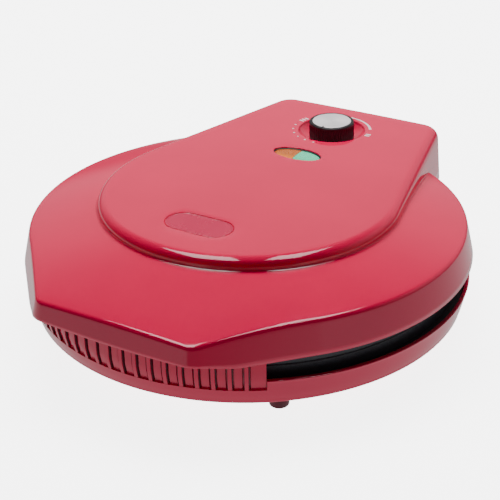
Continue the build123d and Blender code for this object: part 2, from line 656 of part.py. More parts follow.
def terminal_blades(points, axis_up):
    blades = []
    for x, y, z in points:
        half = TERMINAL_SHEET / 2
        if axis_up:
            blades.append(block(x - BLADE_HALF, x + BLADE_HALF, y - half, y + half, z, z + BLADE_UP))
        else:
            blades.append(block(x - BLADE_HALF, x + BLADE_HALF, y, y + BLADE_BACK, z - half, z + half))
    return group(blades)


def lower_element_terminals():
    return terminal_blades([(x, LOWER_TAIL_Y, LOWER_HEATER_Z) for x, y in heater_ends()], False)


def upper_element_terminals():
    return terminal_blades([(x, y, UPPER_TAIL_Z) for x, y in heater_ends()], True)


def lower_heat_shield():
    """Sheet dish that hangs in the base frame, under the lower heater."""
    top = LEDGE_Z + SHEET
    dish = turned([(0, LOWER_SHIELD_Z), (SHIELD_RADIUS, LOWER_SHIELD_Z), (SHIELD_RADIUS, LEDGE_Z),
                   (SHIELD_FLANGE_RADIUS, LEDGE_Z), (SHIELD_FLANGE_RADIUS, top), (SHIELD_RADIUS - SHEET, top),
                   (SHIELD_RADIUS - SHEET, LOWER_SHIELD_Z + SHEET), (0, LOWER_SHIELD_Z + SHEET)])
    dish -= pilot_holes(PLATE_BOSS_CIRCLE, PLATE_SCREW_ANGLES, 0, top, SCREW_RADIUS + SCREW_CLEARANCE)
    dish -= pilot_holes(SHIELD_SCREW_CIRCLE, SHIELD_SCREW_ANGLES, 0, BIG, SCREW_RADIUS + SCREW_CLEARANCE)
    for x, y in heater_ends():
        length = 4 * (SHIELD_FLANGE_RADIUS - SHIELD_RADIUS)
        tunnel = Rotation(-90, 0, 0) * Cylinder(HEATER_RADIUS + HEATER_HOLE_GAP, length)
        dish -= at(x, SHIELD_RADIUS, LOWER_HEATER_Z) * tunnel
    return dish


def upper_heat_shield():
    """Sheet dish that sits on the lid frame, over the upper heater."""
    top = UPPER_SHIELD_Z + SHEET
    low = LID_FRAME_TOP_Z
    inner = SHIELD_RADIUS - SHEET
    dish = turned([(0, UPPER_SHIELD_Z), (inner, UPPER_SHIELD_Z), (inner, low), (SHIELD_FLANGE_RADIUS, low),
                   (SHIELD_FLANGE_RADIUS, low + SHEET), (SHIELD_RADIUS, low + SHEET), (SHIELD_RADIUS, top),
                   (0, top)])
    dish -= pilot_holes(PLATE_BOSS_CIRCLE, PLATE_SCREW_ANGLES, 0, BIG, SCREW_RADIUS + SCREW_CLEARANCE)
    dish -= pilot_holes(SHIELD_SCREW_CIRCLE, SHIELD_SCREW_ANGLES, 0, BIG, SCREW_RADIUS + SCREW_CLEARANCE)
    for x, y in heater_ends():
        dish -= rod(x, y, UPPER_SHIELD_Z - 1, top + 1, HEATER_RADIUS + HEATER_HOLE_GAP)
    return dish


def screws_on(circle, angles, z_face, length, up):
    return group([screw(*polar(circle, angle), z_face, length, up) for angle in angles])


def lower_plate_screws():
    return screws_on(PLATE_BOSS_CIRCLE, PLATE_SCREW_ANGLES, LOWER_SHIELD_Z, PLATE_SCREW_LENGTH, 1)


def upper_plate_screws():
    top = UPPER_SHIELD_Z + SHEET
    return screws_on(PLATE_BOSS_CIRCLE, PLATE_SCREW_ANGLES, top, PLATE_SCREW_LENGTH, -1)


def lower_shield_screws():
    top = LEDGE_Z + SHEET
    return screws_on(SHIELD_SCREW_CIRCLE, SHIELD_SCREW_ANGLES, top, SHIELD_SCREW_LENGTH, -1)


def upper_shield_screws():
    top = LID_FRAME_TOP_Z + SHEET
    return screws_on(SHIELD_SCREW_CIRCLE, SHIELD_SCREW_ANGLES, top, SHIELD_SCREW_LENGTH, -1)


# ================================================================ base
def base_form():
    """Solid form of the base tub."""
    tub = turned([(0, FLOOR_Z), (BASE_FOOT_RADIUS, FLOOR_Z), (BASE_RIM_RADIUS, RIM_Z), (0, RIM_Z)])
    tub = fillet(tub.edges().sort_by(Axis.Z)[0], BASE_FOOT_ROUND)
    return fillet(tub.edges().sort_by(Axis.Z)[-1], BASE_RIM_ROUND)


def tower(grow, low, high):
    """Block at the back of the base that carries the hinge ears."""
    return block(-HINGE_EAR_OUT - grow, HINGE_EAR_OUT + grow, TOWER_FRONT_Y, TOWER_BACK_Y + grow, low, high)


def ear_profile(grow):
    """Side view of a hinge ear."""
    radius = HINGE_EAR_RADIUS + grow
    low = TOWER_TOP_Z - 1
    post = flat(Polyline((HINGE_Y - radius, low), (TOWER_BACK_Y + grow, low), (TOWER_BACK_Y + grow, HINGE_Z),
                         (HINGE_Y - radius, HINGE_Z), close=True))
    return Plane.YZ * (Sketch() + post + Pos(HINGE_Y, HINGE_Z) * Circle(radius))


def base_shell():
    outer = base_form() + tower(0, FLOOR_Z, TOWER_TOP_Z)
    ear = extrude(ear_profile(0), HINGE_EAR_OUT - HINGE_EAR_IN)
    outer += at(HINGE_EAR_IN, 0, 0) * ear
    outer += at(-HINGE_EAR_OUT, 0, 0) * ear
    inside = turned([(0, FLOOR_TOP_Z), (wall_radius(FLOOR_TOP_Z) - BASE_WALL, FLOOR_TOP_Z),
                     (wall_radius(RIM_Z) - BASE_WALL, RIM_Z + 1), (0, RIM_Z + 1)])
    inside -= block(-HINGE_EAR_OUT, HINGE_EAR_OUT, TOWER_FRONT_Y + 15, BIG, LEDGE_Z + SLIDE_GAP, BIG)
    shell = outer - inside
    shell -= tower(-TOWER_SKIN, FLOOR_TOP_Z, TOWER_TOP_Z - TOWER_SKIN) & block(-BIG, BIG, 0, BIG, 0, LEDGE_Z)
    for side in (-1, 1):
        edges = sorted((side * (HINGE_EAR_IN + HINGE_EAR_WEB), side * (HINGE_EAR_OUT - HINGE_SKIN)))
        shell -= bar(edges[0], edges[1], HINGE_Y, HINGE_Z, HINGE_EAR_RADIUS - HINGE_SKIN)
        shell -= block(edges[0], edges[1], EAR_HOLLOW_Y, TOWER_BACK_Y - TOWER_SKIN, FLOOR_TOP_Z, HINGE_Z)
    shell -= bar(-HINGE_EAR_OUT + HINGE_SKIN, HINGE_EAR_OUT - HINGE_SKIN, HINGE_Y, HINGE_Z, HINGE_PIN_RADIUS)
    for angle in BASE_SCREW_ANGLES:
        x, y = polar(BASE_SCREW_CIRCLE, angle)
        shell += rod(x, y, FLOOR_Z + 1, SCREW_PAD_Z, SCREW_HEAD_RADIUS + SCREW_WELL_WALL)
        shell -= rod(x, y, 0, SCREW_PAD_Z + 1, SCREW_RADIUS + SCREW_CLEARANCE)
        shell -= rod(x, y, 0, SCREW_SEAT_Z, SCREW_HEAD_RADIUS + SCREW_CLEARANCE)
    shell -= sector(GRILLE_SPAN, BIG, GRILLE_SEAT_Z, BIG) - ring(0.01, GRILLE_INNER - 1, 0, BIG)
    for angle in foot_angles():
        x, y = polar(FOOT_CIRCLE, angle)
        shell -= rod(x, y, 0, FLOOR_TOP_Z + 1, FOOT_STEM)
    for column in range(VENT_COLUMNS):
        x = (column - (VENT_COLUMNS - 1) / 2) * VENT_PITCH
        for near, far in ((-VENT_FAR, -VENT_NEAR), (VENT_NEAR, VENT_FAR)):
            shell -= block(x - VENT_WIDTH / 2, x + VENT_WIDTH / 2, near, far, 0, FLOOR_TOP_Z + 1)
    return shell - gland_axis() * Cylinder(GLAND_RADIUS, 30)


def foot_angles():
    return [-90 - FOOT_ANGLE, -90 + FOOT_ANGLE, 90 - FOOT_ANGLE, 90 + FOOT_ANGLE]


def feet():
    pads = []
    for angle in foot_angles():
        x, y = polar(FOOT_CIRCLE, angle)
        pad = rod(x, y, 0, FLOOR_Z, FOOT_RADIUS)
        pad = fillet(pad.edges().sort_by(Axis.Z)[0], FOOT_ROUND)
        stem = rod(x, y, FLOOR_Z, FLOOR_TOP_Z, FOOT_STEM - RUN_FIT)
        barb = rod(x, y, FLOOR_TOP_Z, FLOOR_TOP_Z + FOOT_BARB_HEIGHT, FOOT_STEM + FOOT_BARB)
        pads.append(pad + stem + barb)
    return group(pads)


def base_inner_frame():
    """Ring that carries the lower plate and shows as the ledge inside the rim."""
    outer = wall_radius(BASE_FRAME_Z) - BASE_WALL - SEAT_GAP
    frame = ring(FRAME_BORE, outer, BASE_FRAME_Z, LEDGE_Z)
    frame += ring(FRAME_BORE, FRAME_BORE + FRAME_LEG, LOWER_SHIELD_Z + 2, BASE_FRAME_Z)
    for angle in BASE_SCREW_ANGLES:
        x, y = polar(BASE_SCREW_CIRCLE, angle)
        frame += rod(x, y, SCREW_PAD_Z, LEDGE_Z, POST_RADIUS)
    for angle in BASE_SCREW_ANGLES:
        x, y = polar(BASE_SCREW_CIRCLE, angle)
        frame -= rod(x, y, SCREW_PAD_Z - 1, LEDGE_Z - 1.5, SCREW_PILOT)
    frame -= pilot_holes(SHIELD_SCREW_CIRCLE, SHIELD_SCREW_ANGLES, 0, BIG, SCREW_PILOT)
    frame -= sector(GRILLE_SPAN + 1, BIG, 0, BIG) - ring(0.01, GRILLE_INNER - 2.4, 0, BIG)
    frame -= block(-HINGE_EAR_OUT - SEAT_GAP, HINGE_EAR_OUT + SEAT_GAP, TOWER_FRONT_Y + 14, BIG, 0, BIG)
    for x, y in heater_ends():
        tunnel = Rotation(-90, 0, 0) * Cylinder(HEATER_RADIUS + HEATER_HOLE_GAP, 5 * HEATER_RADIUS)
        frame -= at(x, FRAME_BORE + 1, LOWER_HEATER_Z) * tunnel
    return frame


def base_screws():
    return screws_on(BASE_SCREW_CIRCLE, BASE_SCREW_ANGLES, SCREW_SEAT_Z, LEDGE_Z - 3 - SCREW_SEAT_Z, 1)


def front_grille():
    """Finned guard that stands in a notch at the front of the base wall."""
    panel = ring(GRILLE_INNER, GRILLE_FACE, GRILLE_SEAT_Z, GRILLE_TOP_Z)
    fins = ring(GRILLE_FACE - 0.2, GRILLE_OUTER, GRILLE_SEAT_Z, GRILLE_TOP_Z)
    bars = []
    for index in range(FIN_COUNT):
        angle = (index - (FIN_COUNT - 1) / 2) * FIN_PITCH
        bars.append(Rotation(0, 0, angle) * block(-FIN_WIDTH / 2, FIN_WIDTH / 2, -BIG, 0, 0, BIG))
    tongue = ring(GRILLE_INNER - 2, GRILLE_INNER + 0.4, FLOOR_TOP_Z, GRILLE_SEAT_Z + 2)
    guard = panel & sector(GRILLE_SPAN - 0.1, BIG, 0, BIG)
    guard += tongue & sector(GRILLE_SPAN - 4, BIG, 0, BIG)
    for fin in bars:
        guard += fins & fin
    return guard


def terminal_block():
    """Screw connector strip at the back of the base."""
    x_low = TERMINAL_X - TERMINAL_LENGTH / 2
    low = FLOOR_TOP_Z
    back = TERMINAL_Y + TERMINAL_WIDTH
    strip = block(x_low, x_low + TERMINAL_LENGTH, TERMINAL_Y, back, low, low + TERMINAL_HEIGHT)
    pitch = TERMINAL_LENGTH / TERMINAL_POLES
    for pole in range(TERMINAL_POLES):
        x = x_low + pitch * (pole + 0.5)
        strip -= rod(x, TERMINAL_Y + TERMINAL_WIDTH / 2, low + 3, BIG, TERMINAL_WELL)
        bore = Rotation(-90, 0, 0) * Cylinder(TERMINAL_BORE, 4 * TERMINAL_WIDTH)
        strip -= at(x, TERMINAL_Y, low + TERMINAL_HEIGHT / 2) * bore
    return strip


def thermal_fuse():
    """Sleeved one-shot fuse clipped in the back of the base."""
    return bar(FUSE_X - FUSE_LENGTH, FUSE_X, FUSE_Y, FUSE_Z, FUSE_RADIUS)


def gland_axis():
    """Where the gland crosses the base wall, with its axis pointing out."""
    return Rotation(0, 0, GLAND_ANGLE) * at(wall_radius(GLAND_Z), 0, GLAND_Z) * Rotation(0, 90, 0)


def cord_gland():
    """Bush in the base wall where the mains cord would enter."""
    axis = gland_axis()
    bush = axis * Cylinder(GLAND_RADIUS - SEAT_GAP, GLAND_LENGTH)
    flange = axis * Pos(0, 0, GLAND_LENGTH / 2) * Cylinder(GLAND_FLANGE, GLAND_FLANGE_THICKNESS)
    return bush + flange - axis * Cylinder(GLAND_BORE, 2 * GLAND_LENGTH)


def hinge_pin(side):
    """Tube that the lid's barrel turns on, pressed into the ear."""
    ends = sorted((side * (HINGE_EAR_IN - HINGE_PIN_REACH), side * (HINGE_EAR_IN + HINGE_EAR_WEB)))
    tube = bar(ends[0], ends[1], HINGE_Y, HINGE_Z, HINGE_PIN_RADIUS)
    return tube - bar(ends[0] - 1, ends[1] + 1, HINGE_Y, HINGE_Z, HINGE_PIN_BORE)


def hinge_pin_left():
    return hinge_pin(-1)


def hinge_pin_right():
    return hinge_pin(1)


# ================================================================ lid inside
def lid_inner_frame():
    """Ring that closes the lid around the upper plate and carries its shield."""
    outer = LID_RADIUS - LID_WALL - SEAT_GAP - FRAME_THICKNESS * tan(radians(LID_DRAFT)) - 0.4
    frame = ring(FRAME_BORE, outer, LID_FRAME_Z, LID_FRAME_TOP_Z)
    tail = at(0, 0, LID_FRAME_Z) * extrude(platform_outline(LID_WALL + 2 * SEAT_GAP), FRAME_THICKNESS)
    frame += tail & block(-BIG, BIG, PLATE_RADIUS - 5, BIG, 0, BIG)
    for x, y in lid_screw_places():
        frame += rod(x, y, LID_FRAME_Z, LID_POST_Z, POST_RADIUS)
    for x, y in lid_screw_places():
        frame -= rod(x, y, 0, BIG, SCREW_RADIUS + SCREW_CLEARANCE)
        frame -= rod(x, y, 0, LID_SCREW_SEAT_Z, SCREW_HEAD_RADIUS + SCREW_CLEARANCE)
    frame -= pilot_holes(SHIELD_SCREW_CIRCLE, SHIELD_SCREW_ANGLES, 0, BIG, SCREW_PILOT)
    for x, y in bracket_holes():
        frame -= rod(x, y, 0, BIG, SCREW_RADIUS + SCREW_CLEARANCE)
    return frame - rod(CABLE_TURN_X, HINGE_Y, 0, BIG, CABLE_RADIUS + 1)


def lid_screws():
    return screws_on(LID_SCREW_CIRCLE, LID_SCREW_ANGLES, LID_SCREW_SEAT_Z, LID_SCREW_LENGTH, 1)


def bracket_holes():
    rows = (PLATE_RADIUS + BRACKET_SCREW_EDGE, FRAME_BACK_Y - BRACKET_SCREW_EDGE)
    return [(x, y) for x in (-BRACKET_SCREW_HALF, BRACKET_SCREW_HALF) for y in rows]


def hinge_bracket():
    """Barrel that turns on the hinge tubes, with the web and flange that hold it to the lid frame."""
    half = HINGE_EAR_IN - SLIDE_GAP
    barrel = bar(-half, half, HINGE_Y, HINGE_Z, HINGE_BARREL_RADIUS)
    flange = block(-BRACKET_HALF, BRACKET_HALF, PLATE_RADIUS + 1, FRAME_BACK_Y, BRACKET_Z, LID_FRAME_Z)
    web = block(-BRACKET_HALF, BRACKET_HALF, HINGE_Y - BRACKET_WEB_HALF, HINGE_Y + BRACKET_WEB_HALF,
                HINGE_Z, LID_FRAME_Z)
    bracket = barrel + flange + web
    bore = HINGE_PIN_RADIUS + RUN_FIT
    bracket -= bar(-half - 1, half + 1, HINGE_Y, HINGE_Z, bore)
    bracket -= rod(CABLE_TURN_X, HINGE_Y, HINGE_Z, BIG, CABLE_RADIUS + 1)
    for x, y in bracket_holes():
        bracket -= rod(x, y, 0, BIG, SCREW_PILOT)
    return bracket


def hinge_bracket_screws():
    return group([screw(x, y, LID_FRAME_TOP_Z, LID_FRAME_TOP_Z - BRACKET_Z, -1) for x, y in bracket_holes()])


# ================================================================ control
def knob_body():
    shape = Circle(KNOB_RADIUS)
    groove_half = 180 / KNOB_RIBS / 2
    for index in range(KNOB_RIBS):
        angle = index * 360 / KNOB_RIBS
        low = polar(KNOB_RADIUS + 1, angle - groove_half)
        high = polar(KNOB_RADIUS + 1, angle + groove_half)
        deep = polar(KNOB_RADIUS - KNOB_RIB_DEPTH, angle)
        shape -= flat(Polyline(low, high, deep, close=True))
    body = extrude(shape, KNOB_HEIGHT)
    cone = turned([(0, 0), (KNOB_RADIUS + 2, 0), (KNOB_RADIUS + 2, KNOB_HEIGHT - KNOB_CHAMFER - 2),
                   (KNOB_RADIUS - KNOB_CHAMFER, KNOB_HEIGHT + 0.1), (0, KNOB_HEIGHT + 0.1)])
    body = body & cone
    body -= rod(0, 0, KNOB_HEIGHT - KNOB_CAP_THICKNESS, KNOB_HEIGHT + 1, KNOB_CAP_RADIUS + SEAT_GAP / 2)
    body -= ring(SHAFT_RADIUS + KNOB_WALL, KNOB_RADIUS - KNOB_WALL, -1, KNOB_HEIGHT - KNOB_WALL)
    body -= rod(0, 0, -1, KNOB_BORE_DEPTH + RUN_FIT, SHAFT_RADIUS + RUN_FIT)
    mark = block(-KNOB_MARK_WIDTH / 2, KNOB_MARK_WIDTH / 2, -KNOB_RADIUS - 1, -KNOB_CAP_RADIUS + 2.6,
                 KNOB_HEIGHT - KNOB_CAP_THICKNESS - 0.6, KNOB_HEIGHT + 1)
    return at(0, KNOB_Y, KNOB_Z) * (body - mark)


def knob_cap():
    z = KNOB_Z + KNOB_HEIGHT - KNOB_CAP_THICKNESS
    cap = rod(0, 0, 0, KNOB_CAP_THICKNESS + 0.2, KNOB_CAP_RADIUS)
    cap = fillet(cap.edges().sort_by(Axis.Z)[-1], 0.3)
    mark = block(-KNOB_MARK_WIDTH / 2, KNOB_MARK_WIDTH / 2, -KNOB_RADIUS - 1, -KNOB_CAP_RADIUS + 2.6, -1, 5)
    return at(0, KNOB_Y, z) * (cap - mark)


def thermostat_shaft():
    return rod(0, KNOB_Y, THERMOSTAT_TOP_Z - SHAFT_SINK + 1, KNOB_Z + KNOB_BORE_DEPTH, SHAFT_RADIUS)


def knob_spring():
    """Open spring ring that grips the knob's hub."""
    hub = SHAFT_RADIUS + KNOB_WALL
    spring = ring(hub, hub + KNOB_SPRING, KNOB_Z + 1, KNOB_Z + 4)
    return at(0, KNOB_Y, 0) * (spring - block(-1.2, 1.2, 0, BIG, 0, BIG))


def thermostat_body():
    top = THERMOSTAT_TOP_Z
    body = block(-THERMOSTAT_LENGTH / 2, THERMOSTAT_LENGTH / 2, KNOB_Y - THERMOSTAT_WIDTH / 2,
                 KNOB_Y + THERMOSTAT_WIDTH / 2, top - THERMOSTAT_HEIGHT, top)
    body = fillet(body.edges().filter_by(Axis.Z), 3)
    body += rod(0, KNOB_Y, top, top + 5, SHAFT_BUSH_RADIUS)
    for side in (-1, 1):
        body -= rod(side * STRAP_SCREW_X, KNOB_Y, top - STRAP_SCREW_LENGTH, top + 1, SCREW_PILOT)
    return body - rod(0, KNOB_Y, top - SHAFT_SINK, top + 6, SHAFT_RADIUS + RUN_FIT)


def thermostat_bracket():
    """Strap that hangs the thermostat from two posts under the dish."""
    top = STRAP_TOP_Z
    low = THERMOSTAT_TOP_Z
    half = BRACKET_SCREW_X + STRAP_HALF
    inner = BRACKET_SCREW_X - STRAP_HALF
    strap = block(-inner, inner, KNOB_Y - STRAP_HALF, KNOB_Y + STRAP_HALF, low, low + BRACKET_SHEET)
    for side in (-1, 1):
        leg = sorted((side * inner, side * (inner - BRACKET_SHEET)))
        foot = sorted((side * half, side * (inner - BRACKET_SHEET)))
        strap += block(*leg, KNOB_Y - STRAP_HALF, KNOB_Y + STRAP_HALF, low, top)
        strap += block(*foot, KNOB_Y - STRAP_HALF, KNOB_Y + STRAP_HALF, top - BRACKET_SHEET, top)
        for x in (side * BRACKET_SCREW_X, side * STRAP_SCREW_X):
            strap -= rod(x, KNOB_Y, low - 1, top + 1, SCREW_RADIUS + SCREW_CLEARANCE)
    return strap - rod(0, KNOB_Y, low - 1, low + 4, SHAFT_BUSH_RADIUS + SEAT_GAP)


def thermostat_screws():
    """Two screws up into the posts and two down into the thermostat."""
    screws = []
    for side in (-1, 1):
        foot_z = STRAP_TOP_Z - BRACKET_SHEET
        strap_z = THERMOSTAT_TOP_Z + BRACKET_SHEET
        screws.append(screw(side * BRACKET_SCREW_X, KNOB_Y, foot_z, STRAP_SCREW_LENGTH, 1))
        screws.append(screw(side * STRAP_SCREW_X, KNOB_Y, strap_z, STRAP_SCREW_LENGTH, -1))
    return group(screws)


# ================================================================ indicator
def lens_half(side):
    """One half of the eye-shaped lens, with the lip that bears on the lid from inside."""
    z_top = crown_z(0, LENS_Y) - LENS_RECESS
    z_seat = crown_z(0, LENS_Y) - LID_WALL - LENS_SEAT
    half = block(0, BIG, 0, BIG, 0, BIG) if side > 0 else block(-BIG, 0, 0, BIG, 0, BIG)
    window = at(0, 0, z_seat) * extrude(lens_shape(0), z_top - z_seat)
    window = fillet(window.edges().sort_by(Axis.Z)[-1], 1.0)
    lip = at(0, 0, z_seat - LENS_LIP_THICKNESS) * extrude(lens_shape(LENS_LIP), LENS_LIP_THICKNESS)
    return (window + lip) & half


def lens_amber():
    return lens_half(-1)


def lens_green():
    return lens_half(1)


def lamp_holder():
    """Box under the lens with a wall between its two lamps."""
    top = crown_z(0, LENS_Y) - LID_WALL - LENS_SEAT - LENS_LIP_THICKNESS
    low = top - HOLDER_DEPTH
    shape = at(0, 0, low) * extrude(lens_shape(LENS_LIP), HOLDER_DEPTH)
    pocket = at(0, 0, low + HOLDER_WALL) * extrude(lens_shape(LENS_LIP - HOLDER_WALL), HOLDER_DEPTH)
    pocket -= block(-HOLDER_WALL / 2, HOLDER_WALL / 2, -BIG, BIG, 0, BIG)
    holder = shape - pocket
    for side in (-1, 1):
        holder -= rod(side * LAMP_SPACING / 2, LENS_Y, low - 1, low + 3, LAMP_SOCKET / 2 + SEAT_GAP)
    return holder


def lamp(side):
    top = crown_z(0, LENS_Y) - LID_WALL - LENS_SEAT - LENS_LIP_THICKNESS
    low = top - HOLDER_DEPTH
    x = side * LAMP_SPACING / 2
    bulb = rod(x, LENS_Y, low, low + LAMP_LENGTH - LAMP_RADIUS, LAMP_RADIUS - 0.1)
    return bulb + at(x, LENS_Y, low + LAMP_LENGTH - LAMP_RADIUS) * Sphere(LAMP_RADIUS - 0.1)


def lamp_amber():
    return lamp(-1)


def lamp_green():
    return lamp(1)


def badge_plate():
    z = crown_z(0, BADGE_Y) - BADGE_SINK
    return at(0, 0, z) * extrude(badge_shape(0), BADGE_THICKNESS)


# ================================================================ wiring
def terminal_places():
    """Wire bores of the terminal block."""
    pitch = TERMINAL_LENGTH / TERMINAL_POLES
    z = FLOOR_TOP_Z + TERMINAL_HEIGHT / 2
    return [(TERMINAL_X - TERMINAL_LENGTH / 2 + pitch * (pole + 0.5), z) for pole in range(TERMINAL_POLES)]


def supply_leads():
    """Three leads that run from the gland to the front of the terminal block."""
    outward = polar(1, GLAND_ANGLE)
    across = polar(1, GLAND_ANGLE + 90)
    start_r = wall_radius(GLAND_Z)
    offsets = [(-1.8, -1.1), (0, 2.3), (1.8, -1.1)]
    leads = []
    for pole, (x, z) in enumerate(terminal_places()):
        side, rise = offsets[pole]
        turn_r = start_r - GLAND_LENGTH - 2 + 1.8 * pole
        start, inner = [(r * outward[0] + side * across[0], r * outward[1] + side * across[1], GLAND_Z + rise)
                        for r in (start_r, turn_r)]
        run_y = TERMINAL_Y - 10.6 + 3.4 * pole
        leads.append(lead([start, inner, (x, run_y, z), (x, TERMINAL_Y, z)], LEAD_RADIUS, [3.0, 2.8]))
    return group(leads)


def heater_leads():
    """Leads from the lower heater's terminals, one to the fuse and one to the terminal block."""
    left, right = sorted(x for x, y in heater_ends())
    y = LOWER_TAIL_Y + 1
    z = LOWER_HEATER_Z - TERMINAL_SHEET / 2 - LEAD_RADIUS
    x_end, z_end = terminal_places()[1]
    behind = TERMINAL_Y + TERMINAL_WIDTH + 2.4
    fuse_end = FUSE_X - FUSE_LENGTH
    to_fuse = [(left, y, z), (left, FUSE_Y - 5, z), (fuse_end - 8, FUSE_Y - 4.5, FUSE_Z),
               (fuse_end - 8, FUSE_Y, FUSE_Z), (fuse_end, FUSE_Y, FUSE_Z)]
    to_block = [(right, y, z), (right, FUSE_Y - 5, z), (x_end - 3, FUSE_Y + 2, z + 0.5),
                (x_end, behind, z - 1), (x_end, behind, z_end), (x_end, behind - 2.4, z_end)]
    fused = lead(to_fuse, LEAD_RADIUS, [2.6, 2.0, 2.0])
    return group([fused, lead(to_block, LEAD_RADIUS, [4.0, 4.0, 2.0, 2.0])])


def fuse_lead():
    """Lead from the thermal fuse to the back of the terminal block."""
    x, z = terminal_places()[0]
    behind = TERMINAL_Y + TERMINAL_WIDTH + 2.4
    points = [(FUSE_X, FUSE_Y, FUSE_Z), (FUSE_X + 12, FUSE_Y, FUSE_Z), (x - 12, behind, z), (x, behind, z),
              (x, behind - 2.4, z)]
    return lead(points, LEAD_RADIUS, [5.0, 5.0, 2.0])


def hinge_cable_base():
    """Sleeved cable from the terminal block, up inside the left ear and in along the hinge axis."""
    x = -(HINGE_EAR_IN + HINGE_EAR_WEB + CABLE_BEND + 0.1)
    z = FLOOR_TOP_Z + CABLE_RADIUS + 0.3
    start = TERMINAL_X - TERMINAL_LENGTH / 2
    y_low = TOWER_FRONT_Y + 7
    y_rise = (EAR_HOLLOW_Y + TOWER_BACK_Y - TOWER_SKIN) / 2 - 0.25
    floor_run = [(start, y_low + 9, z), (start - 12, y_low + 9, z), (start - 22, y_low, z), (x, y_low, z)]
    rise = [(x, y_rise, z), (x, y_rise, HINGE_Z - 6.2), (x, HINGE_Y, HINGE_Z),
            (-SLIDE_GAP / 2, HINGE_Y, HINGE_Z)]
    points = floor_run + rise
    return lead(points, CABLE_RADIUS, [8, 8, 7, 6, 5, CABLE_BEND])


def hinge_cable_lid():
    """The same cable from the middle of the hinge up to the thermostat."""
    z = THERMOSTAT_TOP_Z - THERMOSTAT_HEIGHT / 2
    end_y = KNOB_Y + THERMOSTAT_WIDTH / 2
    points = [(SLIDE_GAP / 2, HINGE_Y, HINGE_Z), (CABLE_TURN_X, HINGE_Y, HINGE_Z), (CABLE_TURN_X, HINGE_Y, z),
              (CABLE_TURN_X, end_y, z)]
    return lead(points, CABLE_RADIUS, [CABLE_BEND, 10.0])


def lid_leads():
    """Leads from the thermostat to the upper heater's terminals and to the two lamps."""
    face = KNOB_Y - THERMOSTAT_WIDTH / 2
    z = THERMOSTAT_TOP_Z - THERMOSTAT_HEIGHT / 2
    low = UPPER_TAIL_Z + 5
    end_x, end_y = heater_ends()[1]
    lamp_z = crown_z(0, LENS_Y) - LID_WALL - LENS_SEAT - LENS_LIP_THICKNESS - HOLDER_DEPTH
    leads = []
    for side in (-1, 1):
        heater = [(side * end_x, end_y + TERMINAL_SHEET / 2, low), (side * end_x, end_y + 6, low),
                  (side * 10, face - 8, z), (side * 10, face, z)]
        leads.append(lead(heater, LEAD_RADIUS, [5.0, 6.0]))
        x = side * LAMP_SPACING / 2
        light = [(x, LENS_Y, lamp_z), (x, LENS_Y, lamp_z - 8), (side * 5, LENS_Y + 14, lamp_z - 9),
                 (side * 4, face - 10, z + 1), (side * 4, face, z + 1)]
        leads.append(lead(light, LEAD_RADIUS, [6.0, 8.0, 5.0]))
    return group(leads)


NODES = {
    "lid_shell": lid_shell,
    "lid_inner_frame": lid_inner_frame,
    "lid_screws": lid_screws,
    "upper_heat_shield": upper_heat_shield,
    "upper_shield_screws": upper_shield_screws,
    "upper_heating_element": upper_heating_element,
    "upper_element_terminals": upper_element_terminals,
    "upper_heater_clips": upper_heater_clips,
    "upper_cooking_plate": upper_cooking_plate,
    "upper_plate_screws": upper_plate_screws,
    "hinge_bracket": hinge_bracket,
    "hinge_bracket_screws": hinge_bracket_screws,
    "thermostat_body": thermostat_body,
    "thermostat_bracket": thermostat_bracket,
    "thermostat_screws": thermostat_screws,
    "lens_amber": lens_amber,
    "lens_green": lens_green,
    "lamp_holder": lamp_holder,
    "lamp_amber": lamp_amber,
    "lamp_green": lamp_green,
    "badge_plate": badge_plate,
    "thermostat_shaft": thermostat_shaft,
    "knob_body": knob_body,
    "knob_cap": knob_cap,
    "knob_spring": knob_spring,
    "base_shell": base_shell,
    "base_inner_frame": base_inner_frame,
    "base_screws": base_screws,
    "front_grille": front_grille,
    "feet": feet,
    "lower_heat_shield": lower_heat_shield,
    "lower_shield_screws": lower_shield_screws,
    "lower_heating_element": lower_heating_element,
    "lower_element_terminals": lower_element_terminals,
    "lower_heater_clips": lower_heater_clips,
    "lower_cooking_plate": lower_cooking_plate,
    "lower_plate_screws": lower_plate_screws,
    "terminal_block": terminal_block,
    "thermal_fuse": thermal_fuse,
    "cord_gland": cord_gland,
    "hinge_pin_left": hinge_pin_left,
    "hinge_pin_right": hinge_pin_right,
    "supply_leads": supply_leads,
    "heater_leads": heater_leads,
    "fuse_lead": fuse_lead,
    "lid_leads": lid_leads,
    "hinge_cable_base": hinge_cable_base,
    "hinge_cable_lid": hinge_cable_lid,
}


def main():
    os.makedirs("parts", exist_ok=True)
    for name, make in NODES.items():
        export_step(at(0, -FRAME_SHIFT, 0) * make(), f"parts/{name}.step")


if __name__ == "__main__":
    main()
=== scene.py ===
import json
from math import atan2, ceil, cos, hypot, pi, radians, sin, sqrt, tan

import bmesh
import bpy
from mathutils import Matrix, Vector
from mathutils.geometry import delaunay_2d_cdt


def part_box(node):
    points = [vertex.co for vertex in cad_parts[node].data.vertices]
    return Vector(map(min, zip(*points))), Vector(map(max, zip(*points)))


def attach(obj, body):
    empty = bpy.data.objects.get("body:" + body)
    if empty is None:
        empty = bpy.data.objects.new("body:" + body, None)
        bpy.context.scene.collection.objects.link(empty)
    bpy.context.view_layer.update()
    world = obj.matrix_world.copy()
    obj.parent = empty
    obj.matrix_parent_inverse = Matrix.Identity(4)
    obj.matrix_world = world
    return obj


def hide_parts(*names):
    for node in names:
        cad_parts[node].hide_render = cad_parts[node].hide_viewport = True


# The looks of a round electric pizza maker: a glossy red clamshell with a raised platform on
# its lid, a ribbed control knob in a dish, two indicator lenses and a finned front guard.
# Everything is in metres in the frame of the CAD model: +Z up, -Y the front.

